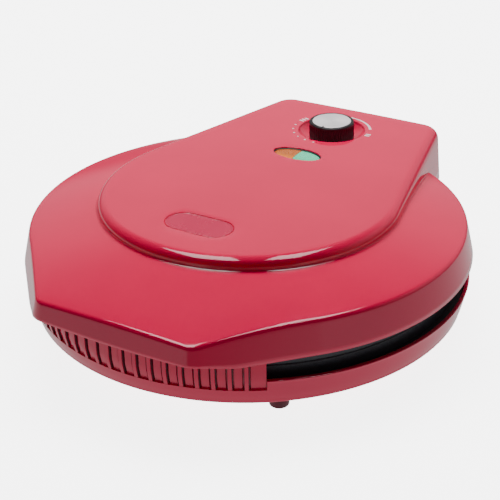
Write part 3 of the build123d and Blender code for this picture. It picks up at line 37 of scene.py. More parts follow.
bl_info = {
    "name": "Round Pizza Maker",
    "version": (1, 0, 0),
    "blender": (4, 5, 0),
    "location": "3D View > Sidebar > Pizza Maker",
    "description": "Builds the looks of a round electric pizza maker around its CAD model",
    "category": "Object",
}

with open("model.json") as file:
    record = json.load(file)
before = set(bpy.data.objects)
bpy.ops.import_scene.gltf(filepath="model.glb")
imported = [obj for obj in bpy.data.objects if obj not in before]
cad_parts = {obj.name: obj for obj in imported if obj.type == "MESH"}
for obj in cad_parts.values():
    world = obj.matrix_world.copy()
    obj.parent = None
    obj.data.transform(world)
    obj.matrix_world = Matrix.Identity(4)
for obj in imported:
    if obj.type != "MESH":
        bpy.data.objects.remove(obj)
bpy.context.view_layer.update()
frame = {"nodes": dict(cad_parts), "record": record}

PLATE_LOW, PLATE_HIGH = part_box("lower_cooking_plate")
CENTRE_Y = (PLATE_LOW[1] + PLATE_HIGH[1]) / 2
KNOB_LOW, KNOB_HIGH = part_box("knob_body")
KNOB_Y = (KNOB_LOW[1] + KNOB_HIGH[1]) / 2
LENS_LOW, LENS_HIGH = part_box("lens_green")
LENS_Y = (LENS_LOW[1] + LENS_HIGH[1]) / 2
BADGE_LOW, BADGE_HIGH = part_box("badge_plate")
BADGE_Y = (BADGE_LOW[1] + BADGE_HIGH[1]) / 2
GUARD_LOW, GUARD_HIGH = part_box("front_grille")
BASE_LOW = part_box("base_shell")[0]
CAP_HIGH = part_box("knob_cap")[1]

LENS_MARGIN = 0.0018    # inset of the lens's opening from the CAD lens
LENS_GAP = 0.0005       # from the opening's edge to the lens
BADGE_FLOOR = 0.0009    # floor of the badge's recess, below the platform
BADGE_FACE = 0.00036    # face of the badge, below the platform
TOP_SPACING, BADGE_SPACING = 0.006, 0.0015  # between the points inside the platform's top and the badge
BODY_COLUMNS, DECK_COLUMNS = 720, 600   # columns of points round the lid's body and its platform
FOOT_STEPS, SIDE_STEPS = 480, 240       # steps along the base wall's foot and each of its sides
RIB_STEPS, FACE_SIDES, DOT_SIDES, FLOOR_SIDES = 8, 144, 20, 64
DOME_START = 0.100      # radius of the dome's innermost row, under the platform
CREASE_INSET = 0.0031   # from the wall's line to the dome's edge at its height
PROBE = 0.004           # distance over which a slope is taken
SINK = 0.0015           # how far the platform's wall runs on below the dome
ROOT_OUT, ROOT_LIFT = 0.0008, 0.00002   # where the root's rounding is taken, and how proud it stands
BADGE_GAP = 0.0006      # gap round the badge
LENS_SPLIT = 0.00012    # half the gap between the two lenses
LENS_TOP, LENS_FALL, LENS_SKIRT = 0.0006, 0.0011, 0.0012    # drop of a lens's top, its edge and each skirt row
GAP_RING_INSETS = 0.0016, 0.0006      # outer edge from the CAD lens, inner edge from the lens
SHADE_STRIP_FOOT, SHADE_STRIP_HEAD, SHADE_STRIP_WIDER = 0.0007, 0.0005, 0.00024  # ends of a dark strip of painted shade from the guard's, and its extra width
PANEL_COLUMN = 0.0022   # a fin's last column of points, in the panel beside it
GUARD_GAP = radians(0.12)   # angle left between the guard and the base wall beside it
FOOT_RETURN = 0.012     # how far the base wall's foot runs in underneath
LOW_WALL, HIGH_WALL = (0.014, 0.018), (0.024, 0.027)    # heights of extra rows in the base wall
NECK_OUT = 0.150        # beyond this radius the neck's wall runs down to the lid's edge
FADE_END, FADE = 0.163, 0.014   # the rounding at the platform's root ends here, over this length
PANEL_NEAR, PANEL_DEPTH = 0.08, 1.3     # the ceiling panels' place towards the camera, and their depth
BACKING_PLACE, BACKING_AIM, BACKING_SIZE = (-0.95, 1.65), 0.06, (1.9, 0.8)      # towards the camera and up
DOT_CLOCKS = (0.0, 15.6, 32.4, 48.4, 65.0, 81.0)    # degrees from the front towards the left
BAR_CLOCKS = (100.0, 105.5, 111.0, 262.0, 267.5)
WEDGE_CLOCK, WEDGE_SWEEP, WEDGE_STEPS = 125, 117, 80
DIMMING = (0.83, 0.89, 0.35)    # cosines from the stage's camera where it starts and is full, and the light left
PANELS = (("left_panel", -0.60, 0.85), ("right_panel", 0.52, 0.60))     # name, place across, width


def length(name, default, description):
    """A length that a user may change."""
    return bpy.props.FloatProperty(name=name, description=description, default=default, unit="LENGTH", precision=4)


def angle(name, default, description):
    """An angle, given in degrees, that a user may change."""
    return bpy.props.FloatProperty(name=name, description=description, default=radians(default), unit="ROTATION")


def level(name, default, description):
    """A plain number that a user may change."""
    return bpy.props.FloatProperty(name=name, description=description, default=default, min=0.0)


def repeats(name, default, description, lowest):
    """A number of repeated parts that a user may change."""
    return bpy.props.IntProperty(name=name, description=description, default=default, min=lowest)


def colour(name, default, description):
    """A colour that a user may change."""
    return bpy.props.FloatVectorProperty(name=name, description=description, default=default, size=3,
                                         subtype="COLOR", min=0.0, max=1.0)


# ---- sizes and colours
class LidSizes(bpy.types.PropertyGroup):
    """Sizes of the lid cover."""
    edge_z: length("Edge height", 0.0475, "Height of the lid wall's bottom edge at the sides")
    crease_z: length("Crease height", 0.073, "Height where the round wall meets the dome")
    radius: length("Radius", 0.174, "Radius of the round wall at its bottom edge")
    draft: angle("Draft", 13.0, "How far the wall leans in")
    dome_radius: length("Dome radius", 0.677, "Curvature of the top")
    edge_round: length("Edge round", 0.004, "Rounding between wall and dome")
    wall: length("Wall", 0.0028, "Thickness of the moulding")
    lip_reach: length("Lip reach", 0.1868, "Front of the lip from the plates' centre")
    lip_bow: length("Lip bow", 0.003, "How far the lip's front bulges")
    lip_corner: length("Lip corner", 0.020, "Rounding of the lip's corners in plan")
    lip_angle: angle("Lip angle", 47.0, "Where the lip leaves the round wall, from the front")
    lip_rise: length("Lip rise", 0.0049, "How much higher the lip's bottom edge is")
    lip_rise_start: length("Lip rise start", 0.157, "Where the bottom edge starts to rise")
    lip_rise_end: length("Lip rise end", 0.185, "Where the bottom edge is level again")
    badge_trim: length("Badge trim", 0.0018, "How much shorter the badge's face is at each end than its plate")


class PlatformSizes(bpy.types.PropertyGroup):
    """Sizes of the raised platform and its neck."""
    radius: length("Radius", 0.1175, "Radius of the round part")
    centre: length("Centre", 0.004, "Centre of the round part behind the plates' centre")
    taper: angle("Neck taper", 13.2, "How much each side of the neck runs in")
    back: length("Back", 0.1955, "Back of the neck's top from the plates' centre")
    corner: length("Corner", 0.017, "Rounding of the neck's corners")
    rise: length("Rise", 0.009, "Height of the platform's edge above the dome")
    crown_across: length("Crown across", 5.6, "Radius of the platform's top from side to side")
    crown_along: length("Crown along", 11.2, "Radius of the platform's top from front to back")
    crown_centre: length("Crown centre", 0.0775, "Highest point behind the plates' centre")
    draft: angle("Draft", 4.5, "How far the platform's wall leans out to its foot")
    edge_round: length("Edge round", 0.0078, "Rounding of the platform's edge at the front")
    neck_round: length("Neck round", 0.0095, "Rounding of the platform's edge along the neck")
    neck_start: length("Neck start", 0.010, "Where the wider rounding begins, behind the plates' centre")
    neck_end: length("Neck end", 0.120, "Where it reaches its full width")
    root_round: length("Root round", 0.0018, "Rounding where the platform meets the dome")


class DialSizes(bpy.types.PropertyGroup):
    """Sizes of the knob's dish and the printed dial."""
    dish_radius: length("Dish radius", 0.028, "Radius of the dish at its rim")
    dish_floor: length("Dish floor", 0.0215, "Radius of the dish's floor")
    dish_depth: length("Dish depth", 0.0076, "Depth of the dish")
    rim_round: length("Rim round", 0.0011, "Rounding of the dish's rim")
    mark_circle: length("Mark circle", 0.0327, "Radius of the circle that the marks stand on")
    dot_radius: length("Dot radius", 0.00085, "Radius of each dot")
    wedge_start: length("Wedge start", 0.0004, "Width of the wedge at its thin end")
    wedge_end: length("Wedge end", 0.0022, "Width of the wedge at its thick end")
    bar_reach: length("Bar reach", 0.0022, "How far a bar reaches to each side of the circle")
    bar_half: angle("Bar half width", 1.6, "Half the width of a bar, seen from the knob's axis")
    film: length("Film", 0.00006, "How far the print stands above the plastic")


class GuardSizes(bpy.types.PropertyGroup):
    """Sizes of the finned guard at the front of the base."""
    foot_radius: length("Foot radius", 0.1675, "Radius of the base wall at its foot")
    rim_radius: length("Rim radius", 0.1724, "Radius of the base wall at its rim")
    rim_height: length("Rim height", 0.021, "Height of the base wall")
    seat_z: length("Seat height", 0.0215, "Bottom of the notch that the guard stands in")
    half_span: angle("Half span", 34.9, "How far the guard runs to each side of the front")
    fins: repeats("Fins", 17, "Number of fins", 3)
    pitch: angle("Pitch", 3.8, "Angle from one fin to the next")
    fin_width: length("Fin width", 0.0027, "Width of a fin's face")
    depth: length("Depth", 0.0034, "How deep the hollows between the fins are")
    flank: length("Flank", 0.0003, "Width of a fin's drafted flank")
    sill: length("Sill", 0.0014, "Height of the slope at the foot of each hollow")
    wall: length("Wall", 0.0019, "Wall behind the hollows")
    top_round: length("Top round", 0.0006, "Rounding along the top")
    # The dark slots of this setting are strips of painted shade laid on the fins' flanks.
    shade_strip_round: length("Slot round", 0.0044, "Height of the rounding at the lower end of the dark slots")
    groove: length("Groove", 0.0008, "Width of the deep groove beside a fin")
    panel_depth: length("Panel depth", 0.0016, "Depth of the panels between the fins")
    # The dark slots here are strips of painted shade laid on the fins' flanks.
    shade_strip_set: length("Slot set-back", 0.0004, "How far the dark slots stay behind the faces of the fins")
    foot_round: length("Foot round", 0.0018, "Rounding of the base at its foot")
    rim_round: length("Rim round", 0.0009, "Rounding of the base at its rim")
    band_thickness: length("Band thickness", 0.0026, "Thickness of the base wall at its rim")
    band_skin: length("Band skin", 0.00012, "How far the finished wall stands out of the tub")
    ledge_drop: length("Ledge drop", 0.0040, "Ledge inside the rim, below the rim")
    back_half: angle("Back opening", 19.6, "Where the wall meets the hinge ears, from the back")


class KnobSizes(bpy.types.PropertyGroup):
    """Sizes of the ribbed knob."""
    radius: length("Radius", 0.0190, "Radius over the ribs")
    rib_depth: length("Rib depth", 0.0007, "Depth of the grooves between the ribs")
    ribs: repeats("Ribs", 54, "Number of ribs", 8)
    skirt_drop: length("Skirt drop", 0.0026, "How far the skirt reaches into the dish")
    edge: length("Edge", 0.0012, "Bevel round the top")
    face_radius: length("Face radius", 0.0163, "Radius of the metal face")
    mark_width: length("Mark width", 0.0012, "Width of the pointer mark")


class Colours(bpy.types.PropertyGroup):
    """Colours of the finishes."""
    red: colour("Red plastic", (0.80, 0.0, 0.07), "Body colour of the glossy mouldings")
    badge: colour("Badge", (0.58, 0.0, 0.060), "Body colour of the badge plate")
    rubber: colour("Foot rubber", (0.10, 0.0, 0.014), "Dark red rubber of the feet")
    coating: colour("Plate coating", (0.040, 0.044, 0.054), "Non-stick coating")
    black: colour("Black plastic", (0.012, 0.010, 0.012), "Knob and hinge barrel")
    frame: colour("Frame plastic", (0.030, 0.030, 0.033), "Inner rings")
    cap: colour("Cap metal", (0.93, 0.89, 0.90), "Spun face of the knob's cap")
    sheet: colour("Sheet metal", (0.72, 0.73, 0.75), "Shields and straps")
    amber: colour("Amber", (0.52, 0.12, 0.012), "Left lens")
    # The lenses' front tones are painted light gathered along each lens's front edge.
    amber_painted_front: colour("Amber edge", (0.95, 0.24, 0.01), "Left lens along its front")
    green: colour("Green", (0.07, 0.72, 0.40), "Right lens")
    green_painted_front: colour("Green edge", (0.06, 0.70, 0.36), "Right lens along its front")
    print_ink: colour("Print", (0.93, 0.78, 0.80), "Dial print")
    floor: colour("Floor", (0.82, 0.82, 0.82), "Studio floor")


class StageSettings(bpy.types.PropertyGroup):
    """Camera and light."""
    azimuth: angle("Azimuth", 31.43, "Camera's place round the part, from the front to the right")
    elevation: angle("Elevation", 26.71, "Camera's height angle")
    distance: length("Distance", 0.9897, "Camera from the middle of the part")
    pivot_z: length("Pivot height", 0.054, "Height that the camera's place is measured from")
    aim: bpy.props.FloatVectorProperty(name="Aim", description="Point that the camera looks at", size=3,
                                       default=(0.0037, -0.0079, 0.0432), subtype="XYZ")
    roll: angle("Roll", -1.012, "Turn of the camera about its own axis")
    lens: level("Lens", 90.96, "Focal length in millimetres")
    overhead: level("Overhead", 9.6, "Brightness of the two ceiling panels")
    backing: level("Backing", 13.5, "Brightness of the panel above and behind")
    ceiling: length("Ceiling", 1.8, "Height of the panels")
    back_glow: level("Back glow", 0.55, "Brightness of the wall behind")
    low_glow: level("Low glow", 0.85, "Brightness from below the horizon")
    floor_glow: level("Floor glow", 5.0, "Brightness of the lit floor")


# ---- mesh helpers
def piece_from(name, points, faces, body, slot_name, material=None):
    """Mesh object in the CAD model's frame that rides on a body."""
    mesh = bpy.data.meshes.new(name)
    mesh.from_pydata([tuple(p) for p in points], [], faces)
    mesh.validate()
    piece = bpy.data.objects.new(name, mesh)
    bpy.context.scene.collection.objects.link(piece)
    tidy = bmesh.new()
    tidy.from_mesh(mesh)
    bmesh.ops.remove_doubles(tidy, verts=tidy.verts, dist=2e-6)
    bmesh.ops.dissolve_degenerate(tidy, edges=tidy.edges, dist=1e-6)
    bmesh.ops.recalc_face_normals(tidy, faces=tidy.faces)
    tidy.to_mesh(mesh)
    tidy.free()
    mesh.shade_smooth()
    mesh.materials.append(material or finish_for(slot_name))
    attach(piece, body)
    return piece


def keep_corners(piece, limit):
    """Shades a piece smooth except across edges sharper than limit degrees."""
    shape = bmesh.new()
    shape.from_mesh(piece.data)
    sharp = [edge.index for edge in shape.edges
             if len(edge.link_faces) == 2 and edge.calc_face_angle(0.0) > radians(limit)]
    shape.free()
    for index in sharp:
        piece.data.edges[index].use_edge_sharp = True


def strip_faces(rows, columns, closed, first=0):
    """Quads over a grid of rows x columns points, closed round the columns if asked."""
    faces = []
    last = columns if closed else columns - 1
    for row in range(rows - 1):
        for column in range(last):
            beside = (column + 1) % columns
            a = first + row * columns + column
            b = first + row * columns + beside
            faces.append((a, b, b + columns, a + columns))
    return faces


def round_corner(corner, toward_a, toward_b, radius, steps):
    """Points of the arc that rounds a corner, from the leg toward_a to the leg toward_b."""
    a, b = toward_a.normalized(), toward_b.normalized()
    opening = a.angle(b)
    reach = radius / tan(opening / 2)
    centre = corner + (a + b).normalized() * (radius / sin(opening / 2))
    start, end = corner + a * reach - centre, corner + b * reach - centre
    sweep = start.angle(end)
    if sweep < 1e-6:
        return [corner] * (steps + 1)
    points = []
    for step in range(steps + 1):
        share = step / steps
        points.append(centre + (start * sin((1 - share) * sweep) + end * sin(share * sweep)) / sin(sweep))
    return points


def even_steps(points, count):
    """The same closed line with count evenly spaced points, and the outward normal at each."""
    closed = points + [points[0]]
    lengths = [0.0]
    for a, b in zip(closed, closed[1:]):
        lengths.append(lengths[-1] + (b - a).length)
    total = lengths[-1]
    places, index = [], 0
    for step in range(count):
        want = total * step / count
        while lengths[index + 1] < want:
            index += 1
        share = (want - lengths[index]) / (lengths[index + 1] - lengths[index])
        places.append(closed[index].lerp(closed[index + 1], share))
    normals = []
    for step in range(count):
        along = places[(step + 1) % count] - places[step - 1]
        normals.append(Vector((along.y, -along.x, 0)).normalized())
    return places, normals


def arc_points(centre, radius, start, end, spacing=0.0008):
    """Points of an arc in plan, angles in radians, counter-clockwise if end is larger."""
    steps = max(2, ceil(abs(end - start) * radius / spacing))
    return [Vector((centre[0] + radius * cos(turn), centre[1] + radius * sin(turn), 0))
            for turn in even_numbers(start, end, steps)]


# ---- shader helpers
def feed(tree, node, inputs):
    """Gives each named input of a node a value, or a link from another node's output."""
    for name, value in inputs.items():
        if isinstance(value, bpy.types.NodeSocket):
            tree.links.new(value, node.inputs[name])
        else:
            node.inputs[name].default_value = value


def add_node(tree, kind, inputs, **values):
    """Adds a shader node, sets its properties and feeds its inputs."""
    node = tree.nodes.new(kind)
    for name, value in values.items():
        setattr(node, name, value)
    feed(tree, node, inputs)
    return node


def new_material(name, sockets):
    """New node material, with its tree and its shader, whose own sockets are set."""
    material = bpy.data.materials.new(name)
    material.use_nodes = True
    tree = material.node_tree
    shader = next(node for node in tree.nodes if node.type == "BSDF_PRINCIPLED")
    feed(tree, shader, sockets)
    return material, tree, shader


def part_place(tree, **mapping):
    """The part's own coordinates, moved or stretched if asked."""
    place = add_node(tree, "ShaderNodeTexCoord", {}).outputs["Object"]
    if not mapping:
        return place
    return add_node(tree, "ShaderNodeMapping", {"Vector": place, **mapping}).outputs["Vector"]


def noise(tree, scale, detail=3.0, roughness=0.5, stretch=(1.0, 1.0, 1.0)):
    """Noise over the part's own coordinates, in cycles per metre, stretched along an axis if asked."""
    return add_node(tree, "ShaderNodeTexNoise", {"Vector": part_place(tree, Scale=stretch), "Scale": scale,
                                                 "Detail": detail, "Roughness": roughness}).outputs["Fac"]


def spread(tree, value, low, high, start=0.3, end=0.7):
    """Maps a 0 to 1 value to a range."""
    return add_node(tree, "ShaderNodeMapRange", {"Value": value, "From Min": start, "From Max": end,
                                                 "To Min": low, "To Max": high}).outputs["Result"]


def colour_ramp(tree, value, stops, interpolation="LINEAR"):
    """Colour that follows the stops, each a position and a tone."""
    node = add_node(tree, "ShaderNodeValToRGB", {"Fac": value})
    node.color_ramp.interpolation = interpolation
    elements = node.color_ramp.elements
    for index, (position, tone) in enumerate(stops):
        stop = elements[index] if index < 2 else elements.new(position)
        stop.position = position
        stop.color = (*tone, 1)
    return node.outputs["Color"]


def bump(tree, height, strength, distance):
    """Normal of a surface bumped by a height between 0 and 1 times distance."""
    return add_node(tree, "ShaderNodeBump", {"Height": height, "Strength": strength,
                                             "Distance": distance}).outputs["Normal"]


def dress(tree, shader, pattern, tones, rough, rough_pattern=None):
    """Colours a shader by a pattern between two tones, and its roughness by the same or another pattern."""
    feed(tree, shader, {"Base Color": colour_ramp(tree, pattern, zip((0.3, 0.7), tones))})
    if rough:
        feed(tree, shader, {"Roughness": spread(tree, rough_pattern or pattern, *rough)})


def tinted(tone, share):
    """A tone a little darker or lighter than a colour."""
    return tuple(clamped(channel * share) for channel in tone)


def shades(tone, low, high):
    """A darker and a lighter tone of a colour."""
    return tinted(tone, low), tinted(tone, high)


# ---- finishes
def noisy_finish(name, sockets, pattern, tones, rough, grain=None, haze=None):
    """Finish that follows noises over the part: the pattern sets its colour, the haze its roughness,
    or else the pattern that too, and the grain, a noise with a strength and a distance, its bumps."""
    material, tree, shader = new_material(name, sockets)
    dress(tree, shader, noise(tree, *pattern), tones, rough, haze and noise(tree, *haze))
    if grain:
        feed(tree, shader, {"Normal": bump(tree, noise(tree, *grain[0]), *grain[1:])})
    return material


def glossy_plastic(name, tone, *rough):
    """Injection-moulded glossy plastic with a faint ripple and handling haze."""
    return noisy_finish(name, {"IOR": 1.48, "Coat Weight": 0.1, "Coat Roughness": 0.04}, (14.0, 4.0),
                        shades(tone, 0.96, 1.03), rough, ((420.0, 2.0), 0.012, 0.0002), (60.0, 6.0, 0.65))


def matt_plastic(name, tone, rough, grain):
    """Textured plastic."""
    return noisy_finish(name, {"IOR": 1.5}, (90.0, 5.0), shades(tone, 0.85, 1.15), (rough - 0.06, rough + 0.08),
                        ((grain, 3.0), 0.25, 0.0001))


def soft_rubber(name, tone):
    """Moulded rubber, a little dusty."""
    return noisy_finish(name, {"IOR": 1.5, "Sheen Weight": 0.15, "Sheen Roughness": 0.5}, (220.0, 6.0, 0.7),
                        shades(tone, 1.0, 1.5), (0.45, 0.7), ((1800.0, 2.0), 0.2, 0.0001))


def non_stick(name, tone):
    """Dark sprayed coating on a cast plate, with fine specks and an orange-peel surface."""
    return noisy_finish(name, {"IOR": 1.45, "Coat Weight": 0.15, "Coat Roughness": 0.3}, (1500.0, 2.0),
                        shades(tone, 1.0, 1.9), (0.34, 0.48), ((900.0, 3.0), 0.12, 0.0001), (45.0, 5.0))


def plain_metal(name, tone, rough, streak):
    """Rolled or drawn metal with fine streaks along X."""
    grain = (300.0, 4.0, 0.6, (1.0 / streak, 1.0, 1.0))
    return noisy_finish(name, {"Metallic": 1.0}, grain, shades(tone, 0.85, 1.0), (rough - 0.06, rough + 0.1),
                        (grain, 0.08, 0.0001))


def heater_steel(name):
    """Sheath of a tubular heater, blued and browned by heat."""
    return noisy_finish(name, {"Metallic": 0.85}, (35.0, 5.0), ((0.10, 0.075, 0.06), (0.30, 0.29, 0.30)),
                        (0.35, 0.55), ((700.0, 3.0), 0.1, 0.0001))


def clear_bulb(name):
    """Glass of a small lamp."""
    smoke = (300.0, 3.0)
    return noisy_finish(name, {"IOR": 1.5, "Transmission Weight": 0.9, "Roughness": 0.05}, smoke,
                        ((0.95, 0.80, 0.60), (0.98, 0.93, 0.86)), None, (smoke, 0.05, 0.0001))


def printed_ink(name, tone):
    """Pad-printed ink, slightly uneven."""
    patch = (1200.0, 3.0)
    return noisy_finish(name, {"IOR": 1.5}, patch, shades(tone, 0.9, 1.0), (0.35, 0.55), (patch, 0.1, 0.00002))


def studio_floor(name, tone, glow):
    """Pale matt floor with a faint mottle, lit a little from within."""
    return noisy_finish(name, {"IOR": 1.3, "Emission Color": (1.0, 1.0, 1.0, 1.0), "Emission Strength": glow},
                        (6.0, 3.0), shades(tone, 0.985, 1.0), (0.55, 0.65))


def spun_metal(name, tone, centre):
    """Metal turned on a lathe: fine rings about the knob's axis, and a painted sheen, its colour lighter and darker
    in fans round that axis.
    """
    material, tree, shader = new_material(name, {"Metallic": 0.25, "Anisotropic": 0.6})
    place = part_place(tree, Location=(-centre[0], -centre[1], 0))
    rings = add_node(tree, "ShaderNodeTexWave", {"Vector": place, "Scale": 900.0, "Distortion": 0.6, "Detail": 1.0},
                     wave_type="RINGS", rings_direction="Z").outputs["Fac"]
    # The fans of lighter and darker colour are a painted sheen, standing in for the spun face's reflection.
    fan = add_node(tree, "ShaderNodeTexGradient", {"Vector": place}, gradient_type="RADIAL").outputs["Fac"]
    wave = add_node(tree, "ShaderNodeMath", {0: fan, 1: 4 * pi}, operation="MULTIPLY").outputs["Value"]
    painted_sheen = add_node(tree, "ShaderNodeMath", {0: wave}, operation="SINE").outputs["Value"]
    dress(tree, shader, spread(tree, painted_sheen, 0.3, 0.7, -1.0, 1.0), shades(tone, 0.86, 1.0), (0.28, 0.40, 0.0, 1.0),
          rings)
    tangent = add_node(tree, "ShaderNodeTangent", {}, direction_type="RADIAL", axis="Z").outputs["Tangent"]
    feed(tree, shader, {"Tangent": tangent, "Normal": bump(tree, rings, 0.15, 0.00003)})
    return material


def lens_plastic(name, tone, painted_front_tone, glow):
    """Coloured plastic with a fine prism pattern, a second tone along its front edge that paints light gathered
    there, and a faint painted glow.
    """
    # The emission is a painted glow: the lens lights itself though it is no lamp.
    material, tree, shader = new_material(name, {"IOR": 1.40, "Coat Weight": 0.15, "Coat Roughness": 0.05,
                                                 "Emission Strength": glow, "Emission Color": (*tone, 1)})
    place = part_place(tree)
    along = add_node(tree, "ShaderNodeSeparateXYZ", {"Vector": place}).outputs["Y"]
    depth = add_node(tree, "ShaderNodeTexVoronoi", {"Vector": place, "Scale": 900.0}).outputs["Distance"]
    front = spread(tree, along, 0.0, 1.0, LENS_Y - 0.009, LENS_Y + 0.003)
    mixed = add_node(tree, "ShaderNodeMath", {0: depth, 1: 0.45, 2: front}, operation="MULTIPLY_ADD")
    dress(tree, shader, mixed.outputs["Value"], (painted_front_tone, tone), (0.16, 0.34, 0.0, 0.7), depth)
    feed(tree, shader, {"Normal": bump(tree, depth, 0.35, 0.0003)})
    return material


def finish_for(slot_name):
    """The material of one of the record's slots, made once."""
    name = f"finish_{slot_name}"
    if name in bpy.data.materials:
        return bpy.data.materials[name]
    tones = bpy.context.scene.maker_colours
    makers = {
        "red_plastic": (glossy_plastic, tones.red, 0.045, 0.085),
        "badge_red": (glossy_plastic, tones.badge, 0.22, 0.30),
        "dark_red_rubber": (soft_rubber, tones.rubber),
        "coated_plate": (non_stick, tones.coating),
        "sheet_metal": (plain_metal, tones.sheet, 0.32, 12.0),
        "spring_metal": (plain_metal, tinted(tones.sheet, 0.85), 0.26, 6.0),
        "heater_sheath": (heater_steel,),
        "screw_steel": (plain_metal, tinted(tones.sheet, 0.8), 0.3, 1.0),
        "pin_steel": (plain_metal, tinted(tones.sheet, 0.95), 0.2, 4.0),
        "black_plastic": (matt_plastic, tones.black, 0.42, 1600.0),
        "frame_plastic": (matt_plastic, tones.frame, 0.5, 1200.0),
        "cap_metal": (spun_metal, tones.cap, (0, KNOB_Y)),
        # The lenses' front tones and their glows of 0.05 and 0.08 are painted light.
        "amber_lens": (lens_plastic, tones.amber, tones.amber_painted_front, 0.05),
        "green_lens": (lens_plastic, tones.green, tones.green_painted_front, 0.08),
        "lamp_glass": (clear_bulb,),
        "terminal_plastic": (matt_plastic, (0.78, 0.76, 0.70), 0.4, 900.0),
        "bakelite": (matt_plastic, (0.16, 0.08, 0.04), 0.35, 700.0),
        "lead_sleeve": (matt_plastic, (0.80, 0.77, 0.68), 0.5, 2400.0),
        "cable_sleeve": (matt_plastic, (0.05, 0.05, 0.05), 0.5, 2400.0),
    }
    if slot_name not in makers:
        raise ValueError(f"no finish is written for the slot {slot_name}")
    maker, *values = makers[slot_name]
    return maker(name, *values)


def finish_nodes(names):
    """Gives CAD nodes their finish."""
    slots = {part["node"]: part["material_slot"] for part in frame["record"]["subparts"]}
    for name in names:
        node = frame["nodes"][name]
        node.data.materials.clear()
        node.data.materials.append(finish_for(slots[name]))
        for face in node.data.polygons:
            face.material_index = 0


# ---- lid cover
def dome_z(x, y):
    """Height of the lid's domed top over a point, measured from the plates' centre."""
    sizes = bpy.context.scene.maker_lid
    crease = sizes.radius - (sizes.crease_z - sizes.edge_z) * tan(sizes.draft) - CREASE_INSET
    apex = sizes.crease_z + crease ** 2 / (2 * sizes.dome_radius)
    return apex - sizes.dome_radius + sqrt(sizes.dome_radius ** 2 - x * x - y * y)


def crown_z(x, y):
    """Height of the platform's top over a point, measured from the plates' centre."""
    deck = bpy.context.scene.maker_platform
    edge = dome_z(deck.radius, 0) + deck.rise
    reach = deck.radius - deck.centre + deck.crown_centre
    apex = edge + reach ** 2 / (2 * deck.crown_along)
    return apex - x * x / (2 * deck.crown_across) - (y - deck.crown_centre) ** 2 / (2 * deck.crown_along)


def lifted(point, height, drop=0.0):
    """The point in plan raised to height(x, y), less drop."""
    return Vector((point.x, point.y, height(point.x, point.y) - drop))


def shifted(points):
    """Points measured from the plates' centre, in the CAD model's frame."""
    shift = Vector((0, CENTRE_Y, 0))
    return [point + shift for point in points]


def mirrored(points):
    """The line on the other side of the part, run through the other way."""
    return [Vector((-point.x, point.y, 0)) for point in reversed(points)]


def even_numbers(start, end, steps):
    """Numbers from start to end in even steps."""
    return [start + (end - start) * step / steps for step in range(steps + 1)]


def quarter_turns(steps, first=0):
    """Angles over a quarter turn, from the step first on."""
    return even_numbers(0.0, pi / 2, steps)[first:]


def clamped(value):
    """The value kept between 0 and 1."""
    return min(1.0, max(0.0, value))


def smooth_share(value, start, end):
    """0 up to start, 1 from end, and smooth between."""
    share = clamped((value - start) / (end - start))
    return share * share * (3 - 2 * share)


def lid_plan():
    """Outline of the lid wall at its bottom edge, counter-clockwise from the front right tangent."""
    sizes = bpy.context.scene.maker_lid
    lean = sizes.lip_angle
    front = sizes.lip_reach - sizes.lip_bow
    corner_x = (sizes.radius - front * cos(lean)) / sin(lean)
    touch = Vector((sizes.radius * sin(lean), -sizes.radius * cos(lean), 0))
    right = Vector((corner_x, -front, 0))
    bow_radius = (corner_x ** 2 + sizes.lip_bow ** 2) / (2 * sizes.lip_bow)
    bow_half = sin_to_angle(corner_x / bow_radius)
    bow = arc_points((0, -front - sizes.lip_bow + bow_radius), bow_radius, -pi / 2 - bow_half, -pi / 2 + bow_half)
    bow_slope = Vector((cos(bow_half), -sin(bow_half), 0))
    right_corner = round_corner(right, Vector((-bow_slope.x, bow_slope.y, 0)), touch - right, sizes.lip_corner, 24)
    left_corner = mirrored(right_corner)
    middle = [p for p in bow if left_corner[-1].x < p.x < right_corner[0].x]
    back = arc_points((0, 0), sizes.radius, -pi / 2 + lean, 3 * pi / 2 - lean)
    return left_corner + middle + right_corner + back


def sin_to_angle(value):
    """Angle whose sine is the value."""
    return atan2(value, sqrt(1 - value * value))


def platform_plan():
    """Outline of the platform and its neck, counter-clockwise from the left side of the neck."""
    deck = bpy.context.scene.maker_platform
    lean = deck.taper
    touch = Vector((deck.radius * cos(lean), deck.centre + deck.radius * sin(lean), 0))
    back_x = touch.x - (deck.back - touch.y) * tan(lean)
    corner = Vector((back_x, deck.back, 0))
    front = arc_points((0, deck.centre), deck.radius, -pi - lean, lean)
    right_corner = round_corner(corner, touch - corner, Vector((-1, 0, 0)), deck.corner, 24)
    return front + right_corner + mirrored(right_corner)


def edge_height(y):
    """Height of the lid's bottom edge, which sweeps up along the lip."""
    sizes = bpy.context.scene.maker_lid
    return sizes.edge_z + sizes.lip_rise * smooth_share(-y, sizes.lip_rise_start, sizes.lip_rise_end)


def line_down(start, foot, rows):
    """Points from below start to foot in even steps."""
    return [start.lerp(foot, (row + 1) / rows) for row in range(rows)]


